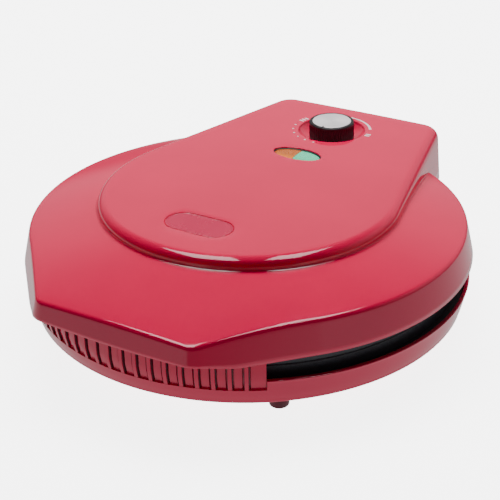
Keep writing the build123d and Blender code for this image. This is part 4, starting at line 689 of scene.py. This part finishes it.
def body_rows(columns, dome_rows=10, round_steps=8, wall_rows=6):
    """Rows of points of the round body, from the dome under the platform down to the bottom edge."""
    sizes = bpy.context.scene.maker_lid
    lean = tan(sizes.draft)
    places, normals = even_steps(lid_plan(), columns)
    lines = []
    for place, normal in zip(places, normals):
        high = sizes.crease_z - sizes.edge_z
        for _ in range(12):
            spot = place - normal * high * lean
            high += (dome_z(spot.x, spot.y) - sizes.edge_z - high) * 0.9
        spot = place - normal * high * lean
        crease = Vector((spot.x, spot.y, sizes.edge_z + high))
        centre_way = Vector((-spot.x, -spot.y, 0)).normalized()
        along_dome = lifted(spot + centre_way * PROBE, dome_z) - crease
        down_wall = Vector((normal.x * lean, normal.y * lean, -1))
        arc = round_corner(crease, along_dome, down_wall, sizes.edge_round, round_steps)
        start = Vector((spot.x, spot.y, 0)).normalized() * DOME_START
        end = Vector((arc[0].x, arc[0].y, 0))
        low = 0.0
        for _ in range(8):
            low = edge_height((place - normal * low * lean).y) - sizes.edge_z
        foot = Vector((*(place - normal * low * lean).xy, sizes.edge_z + low))
        lines.append([lifted(start.lerp(end, row / dome_rows), dome_z) for row in range(dome_rows)] + arc
                     + line_down(arc[-1], foot, wall_rows))
    return list(zip(*lines))


def platform_rows(columns, round_steps=12, wall_rows=4):
    """Rows of points from the rim of the platform's top down its wall, and the strip that rounds its root."""
    deck = bpy.context.scene.maker_platform
    sizes = bpy.context.scene.maker_lid
    lean = tan(deck.draft)
    places, normals = even_steps(platform_plan(), columns)
    lines, root = [], []
    for place, normal in zip(places, normals):
        edge = lifted(place, crown_z)
        inward = lifted(place - normal * PROBE, crown_z) - edge
        down = Vector((normal.x * lean, normal.y * lean, -1))
        wider = smooth_share(place.y, deck.neck_start, deck.neck_end)
        edge_round = deck.edge_round + (deck.neck_round - deck.edge_round) * wider
        arc = round_corner(edge, inward, down, edge_round, round_steps)
        arc[0].z = crown_z(arc[0].x, arc[0].y)
        outside_body = hypot(place.x, place.y) >= NECK_OUT
        drop = 0.010
        for _ in range(6):
            spot = place + normal * drop * lean
            drop = edge.z - (sizes.edge_z if outside_body else dome_z(spot.x, spot.y))
        corner = edge + down * drop
        foot = corner if outside_body else corner + down * SINK
        lines.append(arc + line_down(arc[-1], foot, wall_rows))
        on_dome = edge + down * (edge.z - dome_z(*(place + normal * ROOT_OUT).xy))
        reach = hypot(on_dome.x, on_dome.y)
        fade = min(1.0, max(0.02, (FADE_END - reach) / FADE))
        outward = lifted(on_dome + normal * PROBE, dome_z) - on_dome
        strip = round_corner(on_dome, -down, outward, deck.root_round * fade, round_steps)
        root.append([point + Vector((normal.x, normal.y, 0)) * ROOT_LIFT + Vector((0, 0, ROOT_LIFT))
                     for point in strip])
    return list(zip(*lines)), list(zip(*root))


def ellipse_loop(centre, half_x, half_y, steps=96):
    """Closed loop of an ellipse in plan."""
    return [Vector((centre[0] + half_x * cos(turn), centre[1] + half_y * sin(turn), 0))
            for turn in even_numbers(0.0, 2 * pi, steps)[:-1]]


def stadium_loop(centre, half_length, half_width, end_steps=16, side_steps=16):
    """Closed loop of a slot with round ends, long along X."""
    straight = half_length - half_width
    right = arc_points((centre[0] + straight, centre[1]), half_width, -pi / 2, pi / 2, half_width * pi / end_steps)
    left = arc_points((centre[0] - straight, centre[1]), half_width, pi / 2, 3 * pi / 2, half_width * pi / end_steps)
    sides = [[a.lerp(b, step / side_steps) for step in range(1, side_steps)]
             for a, b in ((right[-1], left[0]), (left[-1], right[0]))]
    return right + sides[0] + left + sides[1]


def inside_loop(point, loop):
    """Whether a point in plan is inside a closed loop."""
    inside = False
    for a, b in zip(loop, loop[1:] + loop[:1]):
        if (a.y > point.y) != (b.y > point.y):
            if point.x < a.x + (point.y - a.y) * (b.x - a.x) / (b.y - a.y):
                inside = not inside
    return inside


def filled_top(outer, holes, height, spacing):
    """Triangles over the area inside a loop and outside its holes, at height(x, y)."""
    loops = [outer] + holes

    def wanted(spot):
        """Whether a point in plan is in the area to fill."""
        return inside_loop(spot, outer) and not any(inside_loop(spot, hole) for hole in holes)

    points, edges = [], []
    for loop in loops:
        first = len(points)
        points += [p.xy for p in loop]
        edges += [(first + k, first + (k + 1) % len(loop)) for k in range(len(loop))]
    low = Vector((min(p.x for p in outer), min(p.y for p in outer)))
    high = Vector((max(p.x for p in outer), max(p.y for p in outer)))
    for row in range(int((high.y - low.y) / spacing)):
        for column in range(int((high.x - low.x) / spacing)):
            spot = Vector((low.x + (column + 0.5 + 0.5 * (row % 2)) * spacing, low.y + (row + 0.5) * spacing))
            clear = all((spot - p.xy).length > spacing * 0.5 for loop in loops for p in loop)
            if clear and wanted(spot):
                points.append(spot)
    flat_points, _, triangles, *_ = delaunay_2d_cdt(points, edges, [], 1, 1e-7)
    kept = [tuple(triangle) for triangle in triangles
            if wanted(sum((flat_points[index] for index in triangle), Vector((0, 0))) / 3)]
    return [lifted(point, height) for point in flat_points], kept


def rim_profile(round_radius, steps, below):
    """(inset, drop) pairs down a rounded rim, then the pairs below it."""
    rim = [(round_radius * (sin(turn) - 1), round_radius * (1 - cos(turn))) for turn in quarter_turns(steps)]
    return rim + below


def recess(maker, profile):
    """Rows of points down into a recess whose loop the maker draws for each inset."""
    return [[lifted(point, crown_z, drop) for point in maker(inset)] for inset, drop in profile]


def add_rows(points, faces, rows):
    """Adds a closed strip of rows to a mesh under construction."""
    first = len(points)
    columns = len(rows[0])
    for row in rows:
        points.extend(row)
    faces.extend(strip_faces(len(rows), columns, True, first))


def add_fill(points, faces, outer, holes, height, spacing):
    """Adds the filled area between a loop and its holes to a mesh under construction."""
    first = len(points)
    top_points, triangles = filled_top(outer, holes, height, spacing)
    points += top_points
    faces += [tuple(first + index for index in triangle) for triangle in triangles]


def lens_size(inset):
    """Half length and half width of the lens, made smaller by inset."""
    return LENS_HIGH[0] - inset, (LENS_HIGH[1] - LENS_LOW[1]) / 2 - inset


def badge_size(grow):
    """Half length and half width of the badge, made larger by grow."""
    trim = bpy.context.scene.maker_lid.badge_trim
    return (BADGE_HIGH[0] - BADGE_LOW[0]) / 2 - trim + grow, (BADGE_HIGH[1] - BADGE_LOW[1]) / 2 + grow


def make_lid_mesh():
    """Points and faces of the lid's outside, measured from the plates' centre."""
    sizes = bpy.context.scene.maker_lid
    dial = bpy.context.scene.maker_dial
    points, faces = [], []
    add_rows(points, faces, body_rows(BODY_COLUMNS))
    deck_rows, root_rows = platform_rows(DECK_COLUMNS)
    add_rows(points, faces, deck_rows)
    add_rows(points, faces, root_rows)

    knob_y, lens_y, badge_y = KNOB_Y - CENTRE_Y, LENS_Y - CENTRE_Y, BADGE_Y - CENTRE_Y
    lens_half = lens_size(LENS_MARGIN)
    badge_half = badge_size(BADGE_GAP)
    slope = (dial.dish_radius - dial.dish_floor) / (dial.dish_depth - 0.001)
    dish = recess(lambda inset: ellipse_loop((0, knob_y), dial.dish_radius - inset, dial.dish_radius - inset),
                  rim_profile(dial.rim_round, 6, [(0.0002 + (drop - 0.0014) * slope, drop) for drop in (0.002, 0.003)]
                              + [(dial.dish_radius - dial.dish_floor, dial.dish_depth),
                                 (dial.dish_radius - dial.dish_floor + 0.003, dial.dish_depth),
                                 (dial.dish_radius - 0.004, dial.dish_depth)]))
    lens = recess(lambda inset: ellipse_loop((0, lens_y), lens_half[0] - inset, lens_half[1] - inset),
                  rim_profile(0.0005, 4, [(0.0, 0.0015), (0.0, sizes.wall)]))
    badge = recess(lambda inset: stadium_loop((0, badge_y), badge_half[0] - inset, badge_half[1] - inset),
                   rim_profile(0.0003, 3, [(0.0, BADGE_FLOOR), (0.003, BADGE_FLOOR)]))
    for rows in (dish, lens, badge):
        add_rows(points, faces, rows)
    add_fill(points, faces, list(deck_rows[0]), [dish[0], lens[0], badge[0]], crown_z, TOP_SPACING)
    add_fill(points, faces, badge[-1], [], lambda x, y: crown_z(x, y) - BADGE_FLOOR, TOP_SPACING)
    return points, faces


class MAKER_OT_lid(bpy.types.Operator):
    """Builds the moulded lid cover: domed body, front lip, raised platform, neck and recesses"""
    bl_idname = "maker.lid"
    bl_label = "Lid Cover"

    def execute(self, context):
        sizes = context.scene.maker_lid
        points, faces = make_lid_mesh()
        cover = piece_from("lid_cover", shifted(points), faces, "lid", "red_plastic")
        thick = cover.modifiers.new("wall", "SOLIDIFY")
        thick.thickness = sizes.wall
        thick.offset = -1
        thick.use_rim = True
        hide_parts("lid_shell")
        return {"FINISHED"}


# ---- dial, lenses and badge
def clock_point(radius, clock):
    """Point on the platform round the knob's axis; clock is in radians from the front towards the left."""
    return Vector((-radius * sin(clock), KNOB_Y - CENTRE_Y - radius * cos(clock), 0))


def printed(name, loops, strips):
    """Thin printed shapes on the platform: closed loops are filled, strips are pairs of lines."""
    film = bpy.context.scene.maker_dial.film

    def on_top(line):
        """The line on the platform's top, with the print's thickness."""
        return shifted([lifted(point, crown_z, -film) for point in line])

    points, faces = [], []
    for loop in loops:
        first = len(points)
        points += on_top(loop)
        faces.append(tuple(range(first, first + len(loop))))
    for near, far in strips:
        first = len(points)
        points += on_top(near + far)
        faces += strip_faces(2, len(near), False, first)
    ink = printed_ink("dial_print", bpy.context.scene.maker_colours.print_ink)
    return piece_from(name, points, faces, "lid", "cap_metal", ink)


class MAKER_OT_dial(bpy.types.Operator):
    """Prints the dial: six dots, a widening wedge and short bars beside it"""
    bl_idname = "maker.dial"
    bl_label = "Dial Marks"

    def execute(self, context):
        dial = context.scene.maker_dial
        dots = [clock_point(dial.mark_circle, radians(clock)) for clock in DOT_CLOCKS]
        loops = [ellipse_loop(middle, dial.dot_radius, dial.dot_radius, DOT_SIDES) for middle in dots]
        near, far = [], []
        for share in even_numbers(0.0, 1.0, WEDGE_STEPS):
            clock = radians(WEDGE_CLOCK + share * WEDGE_SWEEP)
            half = (dial.wedge_start + share * (dial.wedge_end - dial.wedge_start)) / 2
            near.append(clock_point(dial.mark_circle - half, clock))
            far.append(clock_point(dial.mark_circle + half, clock))
        strips = [(near, far)]
        for clock in BAR_CLOCKS:
            turns = [radians(clock) + side * dial.bar_half for side in (-1, 0, 1)]
            strips.append(tuple([clock_point(dial.mark_circle + reach, turn) for turn in turns]
                                for reach in (-dial.bar_reach, dial.bar_reach)))
        printed("dial_marks", loops, strips)
        return {"FINISHED"}


class MAKER_OT_lenses(bpy.types.Operator):
    """Builds the two domed halves of the eye-shaped indicator lens, and a black ring that darkens the gap round them
    """
    bl_idname = "maker.lenses"
    bl_label = "Indicator Lenses"

    def execute(self, context):
        half_x, half_y = lens_size(LENS_MARGIN + LENS_GAP)
        lens_y = LENS_Y - CENTRE_Y
        for side, name, slot_name, node in ((-1, "lens_left", "amber_lens", "lens_amber"),
                                            (1, "lens_right", "green_lens", "lens_green")):
            points, faces = [], []
            columns, rings = 48, 10
            for ring in range(rings + 3):
                share = min(1.0, ring / rings)
                for column in range(columns + 1):
                    turn = -pi / 2 + pi * column / columns
                    x = side * (LENS_SPLIT + half_x * share * cos(turn))
                    y = lens_y + half_y * share * sin(turn)
                    drop = LENS_TOP + LENS_FALL * share ** 4 + LENS_SKIRT * max(0, ring - rings)
                    points.append(Vector((x, y + CENTRE_Y, crown_z(x, y) - drop)))
            faces += strip_faces(rings + 3, columns + 1, False)
            lens = piece_from(name, points, faces, "lid", slot_name)
            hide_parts(node)
        # A black ring fills the gap round the lens and makes it dark.
        outer = ellipse_loop((0, lens_y), *lens_size(GAP_RING_INSETS[0]))
        inner = ellipse_loop((0, lens_y), half_x - GAP_RING_INSETS[1], half_y - GAP_RING_INSETS[1])
        rows = [[Vector((p.x, p.y + CENTRE_Y, crown_z(p.x, p.y) - drop)) for p in loop]
                for loop, drop in ((outer, 0.0006), (inner, 0.0012), (inner, 0.0032), (outer, 0.0032))]
        points, faces = [], []
        add_rows(points, faces, rows + rows[:1])
        piece_from("lens_gap_ring", points, faces, "lid", "black_plastic")
        return {"FINISHED"}


class MAKER_OT_badge(bpy.types.Operator):
    """Builds the bare badge plate with its thin border"""
    bl_idname = "maker.badge"
    bl_label = "Badge"

    def execute(self, context):
        half = badge_size(0.0)
        badge_y = BADGE_Y - CENTRE_Y
        profile = [(0.0, BADGE_FLOOR), (0.0, 0.0004), (0.00025, 0.00015), (0.0010, 0.00015), (0.0012, 0.00035),
                   (0.0016, 0.0004), (0.0030, BADGE_FACE)]
        rows = recess(lambda inset: stadium_loop((0, badge_y), half[0] - inset, half[1] - inset), profile)
        points, faces = [], []
        add_rows(points, faces, rows)
        add_fill(points, faces, rows[-1], [], lambda x, y: crown_z(x, y) - BADGE_FACE, BADGE_SPACING)
        plate = piece_from("badge", shifted(points), faces, "lid", "badge_red")
        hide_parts("badge_plate")
        return {"FINISHED"}


# ---- front guard
def base_radius(z):
    """Radius of the base wall at a height."""
    guard = bpy.context.scene.maker_guard
    share = clamped((z - BASE_LOW[2]) / guard.rim_height)
    return guard.foot_radius + (guard.rim_radius - guard.foot_radius) * share


def fin_angles():
    """Angle of each fin's middle from the front."""
    guard = bpy.context.scene.maker_guard
    return [(index - (guard.fins - 1) / 2) * guard.pitch for index in range(guard.fins)]


def ring_point(radius, angle, z):
    """Point at a radius and an angle from the front, round the plates' centre."""
    return Vector((radius * sin(angle), -radius * cos(angle) + CENTRE_Y, z))


def hollow_depth(across, rise):
    """Depth of the hollow at a distance from a fin's middle and above the seat."""
    guard = bpy.context.scene.maker_guard
    foot = guard.fin_width / 2 + guard.flank
    side = smooth_share(across, guard.fin_width / 2, foot)
    panel = smooth_share(across, foot + guard.groove, foot + guard.groove * 1.5)
    relief = guard.depth + (guard.panel_depth - guard.depth) * panel
    return side * relief * sin(pi / 2 * clamped(rise / guard.sill))


def guard_columns():
    """Angles from the front for the guard's columns, close together at the fins' flanks, with the
    distance of each from the nearest fin's middle."""
    guard = bpy.context.scene.maker_guard
    radius = guard.foot_radius
    half, flank = guard.fin_width / 2, guard.flank
    offsets = [half * share for share in (0, 0.5, 0.85)]
    offsets += [half + flank * share for share in (0.0, 0.2, 0.4, 0.6, 0.8, 1.0)]
    offsets += [half + flank + gap for gap in (guard.groove, guard.groove * 1.25, guard.groove * 1.5, PANEL_COLUMN)]
    angles = {centre + side * offset / radius for centre in fin_angles() for side in (-1, 1) for offset in offsets}
    angles = {angle for angle in angles if abs(angle) < guard.half_span} | {-guard.half_span, guard.half_span}
    return [(angle, min(abs(angle - centre) for centre in fin_angles()) * radius) for angle in sorted(angles)]


def red_ring(name, sections):
    """Red piece of the base that joins closed sections, with its two ends closed."""
    points = [point for section in sections for point in section]
    count = len(sections[0])
    faces = strip_faces(len(sections), count, True)
    faces += [tuple(range(count)), tuple(range(len(points) - count, len(points)))]
    ring = piece_from(name, points, faces, "base", "red_plastic")
    keep_corners(ring, 50)
    return ring


class MAKER_OT_guard(bpy.types.Operator):
    """Builds the front guard: fins flush with the base wall, hollows between them and dark strips of painted shade
    beside them
    """
    bl_idname = "maker.guard"
    bl_label = "Front Guard"

    def add_painted_shade_strips(self, guard, top):
        """Dark strips of painted shade along both flanks of every fin, rounded at their lower ends."""
        points, faces = [], []
        start, stop = SHADE_STRIP_FOOT, top - guard.seat_z - SHADE_STRIP_HEAD
        rises = even_numbers(start, guard.shade_strip_round, 6) + even_numbers(guard.shade_strip_round, stop, 3)[1:]
        near = guard.fin_width / 2 + guard.flank * 0.5
        far = near + guard.flank * 0.6 + SHADE_STRIP_WIDER
        for centre in fin_angles():
            for side in (-1, 1):
                first = len(points)
                for rise in rises:
                    z = guard.seat_z + rise
                    back = base_radius(z) - guard.depth * sin(pi / 2 * min(1.0, rise / guard.shade_strip_round))
                    front = base_radius(z) - guard.shade_strip_set
                    back = min(back, front - 0.0001)
                    for radius, across in ((front, near), (front, near + SHADE_STRIP_WIDER), (back, far), (back, near)):
                        points.append(ring_point(radius, centre + side * across / guard.foot_radius, z))
                faces += strip_faces(len(rises), 4, True, first)
                last = first + 4 * (len(rises) - 1)
                faces += [(first, first + 1, first + 2, first + 3), (last + 3, last + 2, last + 1, last)]
        # These dark rubber-coloured strips are painted shade: solid dark pieces where the fins' flanks lie in shade.
        slots = piece_from("guard_painted_shade", points, faces, "base", "dark_red_rubber")
        keep_corners(slots, 30)

    def execute(self, context):
        guard = context.scene.maker_guard
        top = GUARD_HIGH[2]
        height = top - guard.top_round - guard.seat_z
        rises = even_numbers(0.0, guard.sill, 8) + even_numbers(guard.sill, height, 6)[1:]
        inner = base_radius(guard.seat_z) - guard.depth - guard.wall
        sections = []
        for angle, across in guard_columns():
            line = [(base_radius(guard.seat_z + rise) - hollow_depth(across, rise), guard.seat_z + rise)
                    for rise in rises]
            front = line[-1][0]
            line += [(front - guard.top_round * (1 - cos(turn)), top - guard.top_round * (1 - sin(turn)))
                     for turn in quarter_turns(4, 1)]
            line += [(inner, top), (inner, GUARD_LOW[2])]
            sections.append([ring_point(radius, angle, z) for radius, z in line])
        piece = red_ring("front_guard", sections)
        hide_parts("front_grille")
        self.add_painted_shade_strips(guard, top)
        return {"FINISHED"}


def band_strip(name, profile, start, end, steps):
    """Part of a turned ring between two angles from the front, closed at both ends."""
    return red_ring(name, [[ring_point(radius, angle, z) for radius, z in profile]
                           for angle in even_numbers(start, end, steps)])


class MAKER_OT_band(bpy.types.Operator):
    """Builds the smooth outside of the base: the wall with its rounded foot and rim, lower under the guard"""
    bl_idname = "maker.band"
    bl_label = "Base Wall"

    def execute(self, context):
        guard = context.scene.maker_guard
        skin, thick = guard.band_skin, guard.band_thickness
        foot, rim_z = BASE_LOW[2], BASE_LOW[2] + guard.rim_height
        slope = (guard.rim_radius - guard.foot_radius) / guard.rim_height
        lower = [(guard.foot_radius - FOOT_RETURN, foot - skin)]
        lower += [(guard.foot_radius + skin - guard.foot_round * (1 - sin(turn)),
                   foot - skin + guard.foot_round * (1 - cos(turn))) for turn in quarter_turns(6)]
        seat = guard.seat_z
        inner = base_radius(seat) - guard.depth - guard.wall
        lower += [(base_radius(z) + skin, z) for z in (*LOW_WALL, seat)] + [(inner, seat), (inner, foot + 0.001)]
        round_start = rim_z - guard.rim_round
        inner = guard.rim_radius - thick - skin
        upper = [(inner, seat)] + [(base_radius(z) + skin, z) for z in (seat, *HIGH_WALL, round_start)]
        upper += [(base_radius(round_start) + skin + slope * 0.001 - guard.rim_round * (1 - cos(turn)),
                   round_start + skin + guard.rim_round * sin(turn)) for turn in quarter_turns(5, 1)]
        upper += [(inner + 0.0004, rim_z + skin), (inner, rim_z - 0.0003), (inner, rim_z - guard.ledge_drop)]
        edge = guard.half_span + GUARD_GAP
        band_strip("wall_foot", lower, guard.back_half - pi, pi - guard.back_half, FOOT_STEPS)
        band_strip("wall_right", upper, edge, pi - guard.back_half, SIDE_STEPS)
        band_strip("wall_left", upper, guard.back_half - pi, -edge, SIDE_STEPS)
        return {"FINISHED"}


# ---- knob
def turned_rows(profile, columns, centre_y, shape=None):
    """Rows of points round the vertical axis at centre_y; shape changes the radius by angle and row."""
    rows = []
    for index, (radius, z) in enumerate(profile):
        row = []
        for column in range(columns):
            turn = 2 * pi * column / columns
            spot = radius - (shape(turn, index) if shape else 0)
            row.append(Vector((spot * cos(turn), centre_y + spot * sin(turn), z)))
        rows.append(row)
    return rows


class MAKER_OT_knob(bpy.types.Operator):
    """Builds the ribbed knob and its metal face, and finishes the thermostat under it"""
    bl_idname = "maker.knob"
    bl_label = "Control Knob"

    def execute(self, context):
        knob = context.scene.maker_knob
        low, top = KNOB_LOW[2] - knob.skirt_drop, CAP_HIGH[2]
        wall, inside = 0.0022, 0.0030
        rim = top - 0.0002
        profile = [(knob.radius - wall, low), (knob.radius - 0.0004, low), (knob.radius, low + 0.0004)]
        profile += [(knob.radius, low + (rim - knob.edge - low) * share)
                    for share in (0.08, 0.12, 0.3, 0.5, 0.7, 0.88, 0.94)]
        profile += [(knob.radius - knob.edge * (1 - cos(turn)), rim - knob.edge * (1 - sin(turn)))
                    for turn in quarter_turns(6)]
        profile += [(knob.face_radius + 0.0002, rim), (knob.face_radius + 0.0001, rim - 0.0007),
                    (0.002, rim - 0.0007), (0.002, rim - inside), (knob.radius - wall, rim - inside)]
        grooved = range(4, 9)

        def groove(turn, index):
            """Depth between the ribs at an angle, on the rows that have them."""
            return knob.rib_depth * (0.5 - 0.5 * cos(knob.ribs * turn)) ** 0.7 if index in grooved else 0.0

        points, faces = [], []
        columns = knob.ribs * RIB_STEPS
        add_rows(points, faces, turned_rows(profile, columns, KNOB_Y, groove))
        last = (len(profile) - 1) * columns
        faces += [(last + k, last + (k + 1) % columns, (k + 1) % columns, k) for k in range(columns)]
        grip = piece_from("knob_grip", points, faces, "knob", "black_plastic")
        keep_corners(grip, 40)
        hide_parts("knob_body")

        face_profile = [(0.0004, top - 0.00035), (0.006, top - 0.0003), (0.011, top - 0.00015),
                        (knob.face_radius - 0.0012, top), (knob.face_radius - 0.0004, top - 0.00005),
                        (knob.face_radius, top - 0.0004), (knob.face_radius, top - 0.0009)]
        points, faces = [], []
        add_rows(points, faces, turned_rows(face_profile, FACE_SIDES, KNOB_Y))
        faces.append(tuple(range(FACE_SIDES)))
        disc = piece_from("knob_face", points, faces, "knob", "cap_metal")
        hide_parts("knob_cap")

        mark_half, reach = knob.mark_width / 2, knob.radius - 0.0003
        near, far = knob.face_radius - 0.0016, reach
        corners = [(-mark_half, near), (mark_half, near), (mark_half, far), (-mark_half, far)]
        points = [Vector((x, KNOB_Y - r, top + 0.00003 - (0.00024 if r == far else 0))) for x, r in corners]
        points += [point - Vector((0, 0, 0.0006)) for point in points]
        faces = [(0, 1, 2, 3), (0, 4, 5, 1), (1, 5, 6, 2), (2, 6, 7, 3), (3, 7, 4, 0), (4, 7, 6, 5)]
        piece_from("knob_mark", points, faces, "knob", "black_plastic")
        finish_nodes(["knob_spring", "thermostat_shaft", "thermostat_body", "thermostat_bracket",
                      "thermostat_screws"])
        return {"FINISHED"}


# ---- CAD pieces that keep their shape
class MAKER_OT_base(bpy.types.Operator):
    """Finishes the base tub, its ring, its screws, the feet and the gland"""
    bl_idname = "maker.base"
    bl_label = "Base"

    def execute(self, context):
        finish_nodes(["base_shell", "feet", "cord_gland", "base_screws", "base_inner_frame"])
        return {"FINISHED"}


class MAKER_OT_plates(bpy.types.Operator):
    """Finishes the cooking plates, the heaters, the shields and what holds them"""
    bl_idname = "maker.plates"
    bl_label = "Plates and Heaters"

    def execute(self, context):
        names = [name for name in frame["nodes"] if name.startswith(("upper_", "lower_"))]
        finish_nodes(names + ["lid_inner_frame", "lid_screws"])
        return {"FINISHED"}


class MAKER_OT_hinge(bpy.types.Operator):
    """Finishes the hinge, its tubes and its screws"""
    bl_idname = "maker.hinge"
    bl_label = "Hinge"

    def execute(self, context):
        finish_nodes(["hinge_bracket", "hinge_bracket_screws", "hinge_pin_left", "hinge_pin_right"])
        return {"FINISHED"}


class MAKER_OT_wiring(bpy.types.Operator):
    """Finishes the lamps, the terminal block, the fuse, the leads and the cable"""
    bl_idname = "maker.wiring"
    bl_label = "Lamps and Wiring"

    def execute(self, context):
        finish_nodes(["lamp_holder", "lamp_amber", "lamp_green", "terminal_block", "thermal_fuse", "supply_leads",
                      "heater_leads", "fuse_lead", "lid_leads", "hinge_cable_base", "hinge_cable_lid"])
        return {"FINISHED"}


# ---- stage
def softbox(name, place, target, width, height, brightness):
    """Rectangular area light that faces a point; its brightness is that of its face."""
    data = bpy.data.lights.new(name, "AREA")
    data.shape = "RECTANGLE"
    data.size = width
    data.size_y = height
    data.energy = brightness * pi * width * height
    light = bpy.data.objects.new(name, data)
    light.location = place
    light.rotation_euler = (Vector(target) - Vector(place)).to_track_quat("-Z", "Y").to_euler()
    bpy.context.scene.collection.objects.link(light)
    return light


def studio_room(settings):
    """World that is bright low behind the part, dark overhead and ahead, softly lit from below the
    horizon, and dimmed where the stage's own camera stands."""
    world = bpy.data.worlds.new("studio")
    world.use_nodes = True
    tree = world.node_tree
    way = add_node(tree, "ShaderNodeTexCoord", {}).outputs["Generated"]
    split = add_node(tree, "ShaderNodeSeparateXYZ", {"Vector": way})
    height = spread(tree, split.outputs["Z"], 0.0, 1.0, -1.0, 1.0)
    back, low = settings.back_glow, settings.low_glow

    def greys(stops):
        """Grey that follows the height of a direction."""
        return colour_ramp(tree, height, [(position, (grey,) * 3) for position, grey in stops], "EASE")

    behind = greys([(0.0, low), (0.42, low), (0.49, 0.14), (0.53, 0.14), (0.60, back), (0.74, back),
                    (0.90, 0.12 * back), (1.0, 0.05 * back)])
    ahead = greys([(0.0, low), (0.46, low), (0.505, 0.16), (0.6, 0.06), (1.0, 0.02)])
    mixed = add_node(tree, "ShaderNodeMix", {}, data_type="RGBA")
    feed(tree, mixed, {"Factor": spread(tree, split.outputs["Y"], 0.0, 1.0, -0.1, 0.55), 6: ahead, 7: behind})
    camera_way = (sin(settings.azimuth), -cos(settings.azimuth), 0.0)
    toward = add_node(tree, "ShaderNodeVectorMath", {0: way, 1: camera_way}, operation="DOT_PRODUCT")
    start, full, left = DIMMING
    shade = spread(tree, toward.outputs["Value"], 1.0, left, start, full)
    dimmed = add_node(tree, "ShaderNodeVectorMath", {0: mixed.outputs[2], "Scale": shade}, operation="SCALE")
    feed(tree, tree.nodes["Background"], {"Color": dimmed.outputs["Vector"], "Strength": 1.0})
    return world


class MAKER_OT_stage(bpy.types.Operator):
    """Sets up the floor, the soft studio light and the camera"""
    bl_idname = "maker.stage"
    bl_label = "Stage"

    def execute(self, context):
        settings = context.scene.maker_stage
        points, faces = [], []
        add_rows(points, faces, turned_rows([(0.02, 0), (1.0, 0), (6.0, 0)], FLOOR_SIDES, 0))
        faces.append(tuple(range(FLOOR_SIDES)))
        mesh = bpy.data.meshes.new("floor")
        mesh.from_pydata([tuple(point) for point in points], [], faces)
        floor = bpy.data.objects.new("floor", mesh)
        context.scene.collection.objects.link(floor)
        mesh.materials.append(studio_floor("floor_finish", context.scene.maker_colours.floor, settings.floor_glow))

        floor.visible_diffuse = False
        floor.visible_glossy = False
        floor.visible_shadow = False
        context.scene.world = studio_room(settings)
        toward = Vector((sin(settings.azimuth), -cos(settings.azimuth), 0))
        across = Vector((cos(settings.azimuth), sin(settings.azimuth), 0))
        for name, side, width in PANELS:
            place = toward * PANEL_NEAR + across * side + Vector((0, 0, settings.ceiling))
            panel = softbox(name, place, place - Vector((0, 0, 1)), width, PANEL_DEPTH, settings.overhead)
            panel.rotation_euler = (0, 0, settings.azimuth)
            panel.visible_diffuse = False
        place = toward * BACKING_PLACE[0] + Vector((0, 0, BACKING_PLACE[1]))
        backing = softbox("back_panel", place, (0, 0, BACKING_AIM), *BACKING_SIZE, settings.backing)
        backing.visible_glossy = False

        data = bpy.data.cameras.new("camera")
        data.lens = settings.lens
        data.sensor_width = 36
        camera = bpy.data.objects.new("camera", data)
        context.scene.collection.objects.link(camera)
        away = toward * cos(settings.elevation) + Vector((0, 0, sin(settings.elevation)))
        place = Vector((0, CENTRE_Y, settings.pivot_z)) + away * settings.distance
        forward = (Vector(settings.aim) - place).normalized()
        turn = forward.to_track_quat("-Z", "Y").to_matrix().to_4x4()
        camera.matrix_world = Matrix.Translation(place) @ turn @ Matrix.Rotation(settings.roll, 4, "Z")
        context.scene.camera = camera
        return {"FINISHED"}


class MAKER_PT_panel(bpy.types.Panel):
    """Lists the pieces and the sizes behind them."""
    bl_idname = "MAKER_PT_panel"
    bl_label = "Pizza Maker"
    bl_space_type = "VIEW_3D"
    bl_region_type = "UI"
    bl_category = "Pizza Maker"

    def draw(self, context):
        for operator in OPERATORS:
            self.layout.operator(operator.bl_idname)
        for scene_name in GROUPS:
            group = getattr(context.scene, scene_name)
            box = self.layout.box()
            for name in group.__annotations__:
                box.prop(group, name)


GROUPS = {
    "maker_lid": LidSizes,
    "maker_platform": PlatformSizes,
    "maker_dial": DialSizes,
    "maker_guard": GuardSizes,
    "maker_knob": KnobSizes,
    "maker_colours": Colours,
    "maker_stage": StageSettings,
}
OPERATORS = [MAKER_OT_stage, MAKER_OT_lid, MAKER_OT_dial, MAKER_OT_lenses, MAKER_OT_badge, MAKER_OT_band,
             MAKER_OT_guard, MAKER_OT_knob, MAKER_OT_base, MAKER_OT_plates, MAKER_OT_hinge, MAKER_OT_wiring]


def register():
    """Registers the sizes, the operators and the panel."""
    for group in GROUPS.values():
        bpy.utils.register_class(group)
    for name, group in GROUPS.items():
        setattr(bpy.types.Scene, name, bpy.props.PointerProperty(type=group))
    for operator in OPERATORS:
        bpy.utils.register_class(operator)
    bpy.utils.register_class(MAKER_PT_panel)


def unregister():
    """Takes the classes and the sizes out again."""
    bpy.utils.unregister_class(MAKER_PT_panel)
    for operator in reversed(OPERATORS):
        bpy.utils.unregister_class(operator)
    for name, group in GROUPS.items():
        delattr(bpy.types.Scene, name)
        bpy.utils.unregister_class(group)


def main():
    """Builds the whole scene."""
    register()
    for operator in OPERATORS:
        category, name = operator.bl_idname.split(".")
        getattr(getattr(bpy.ops, category), name)()


if __name__ == "__main__":
    main()
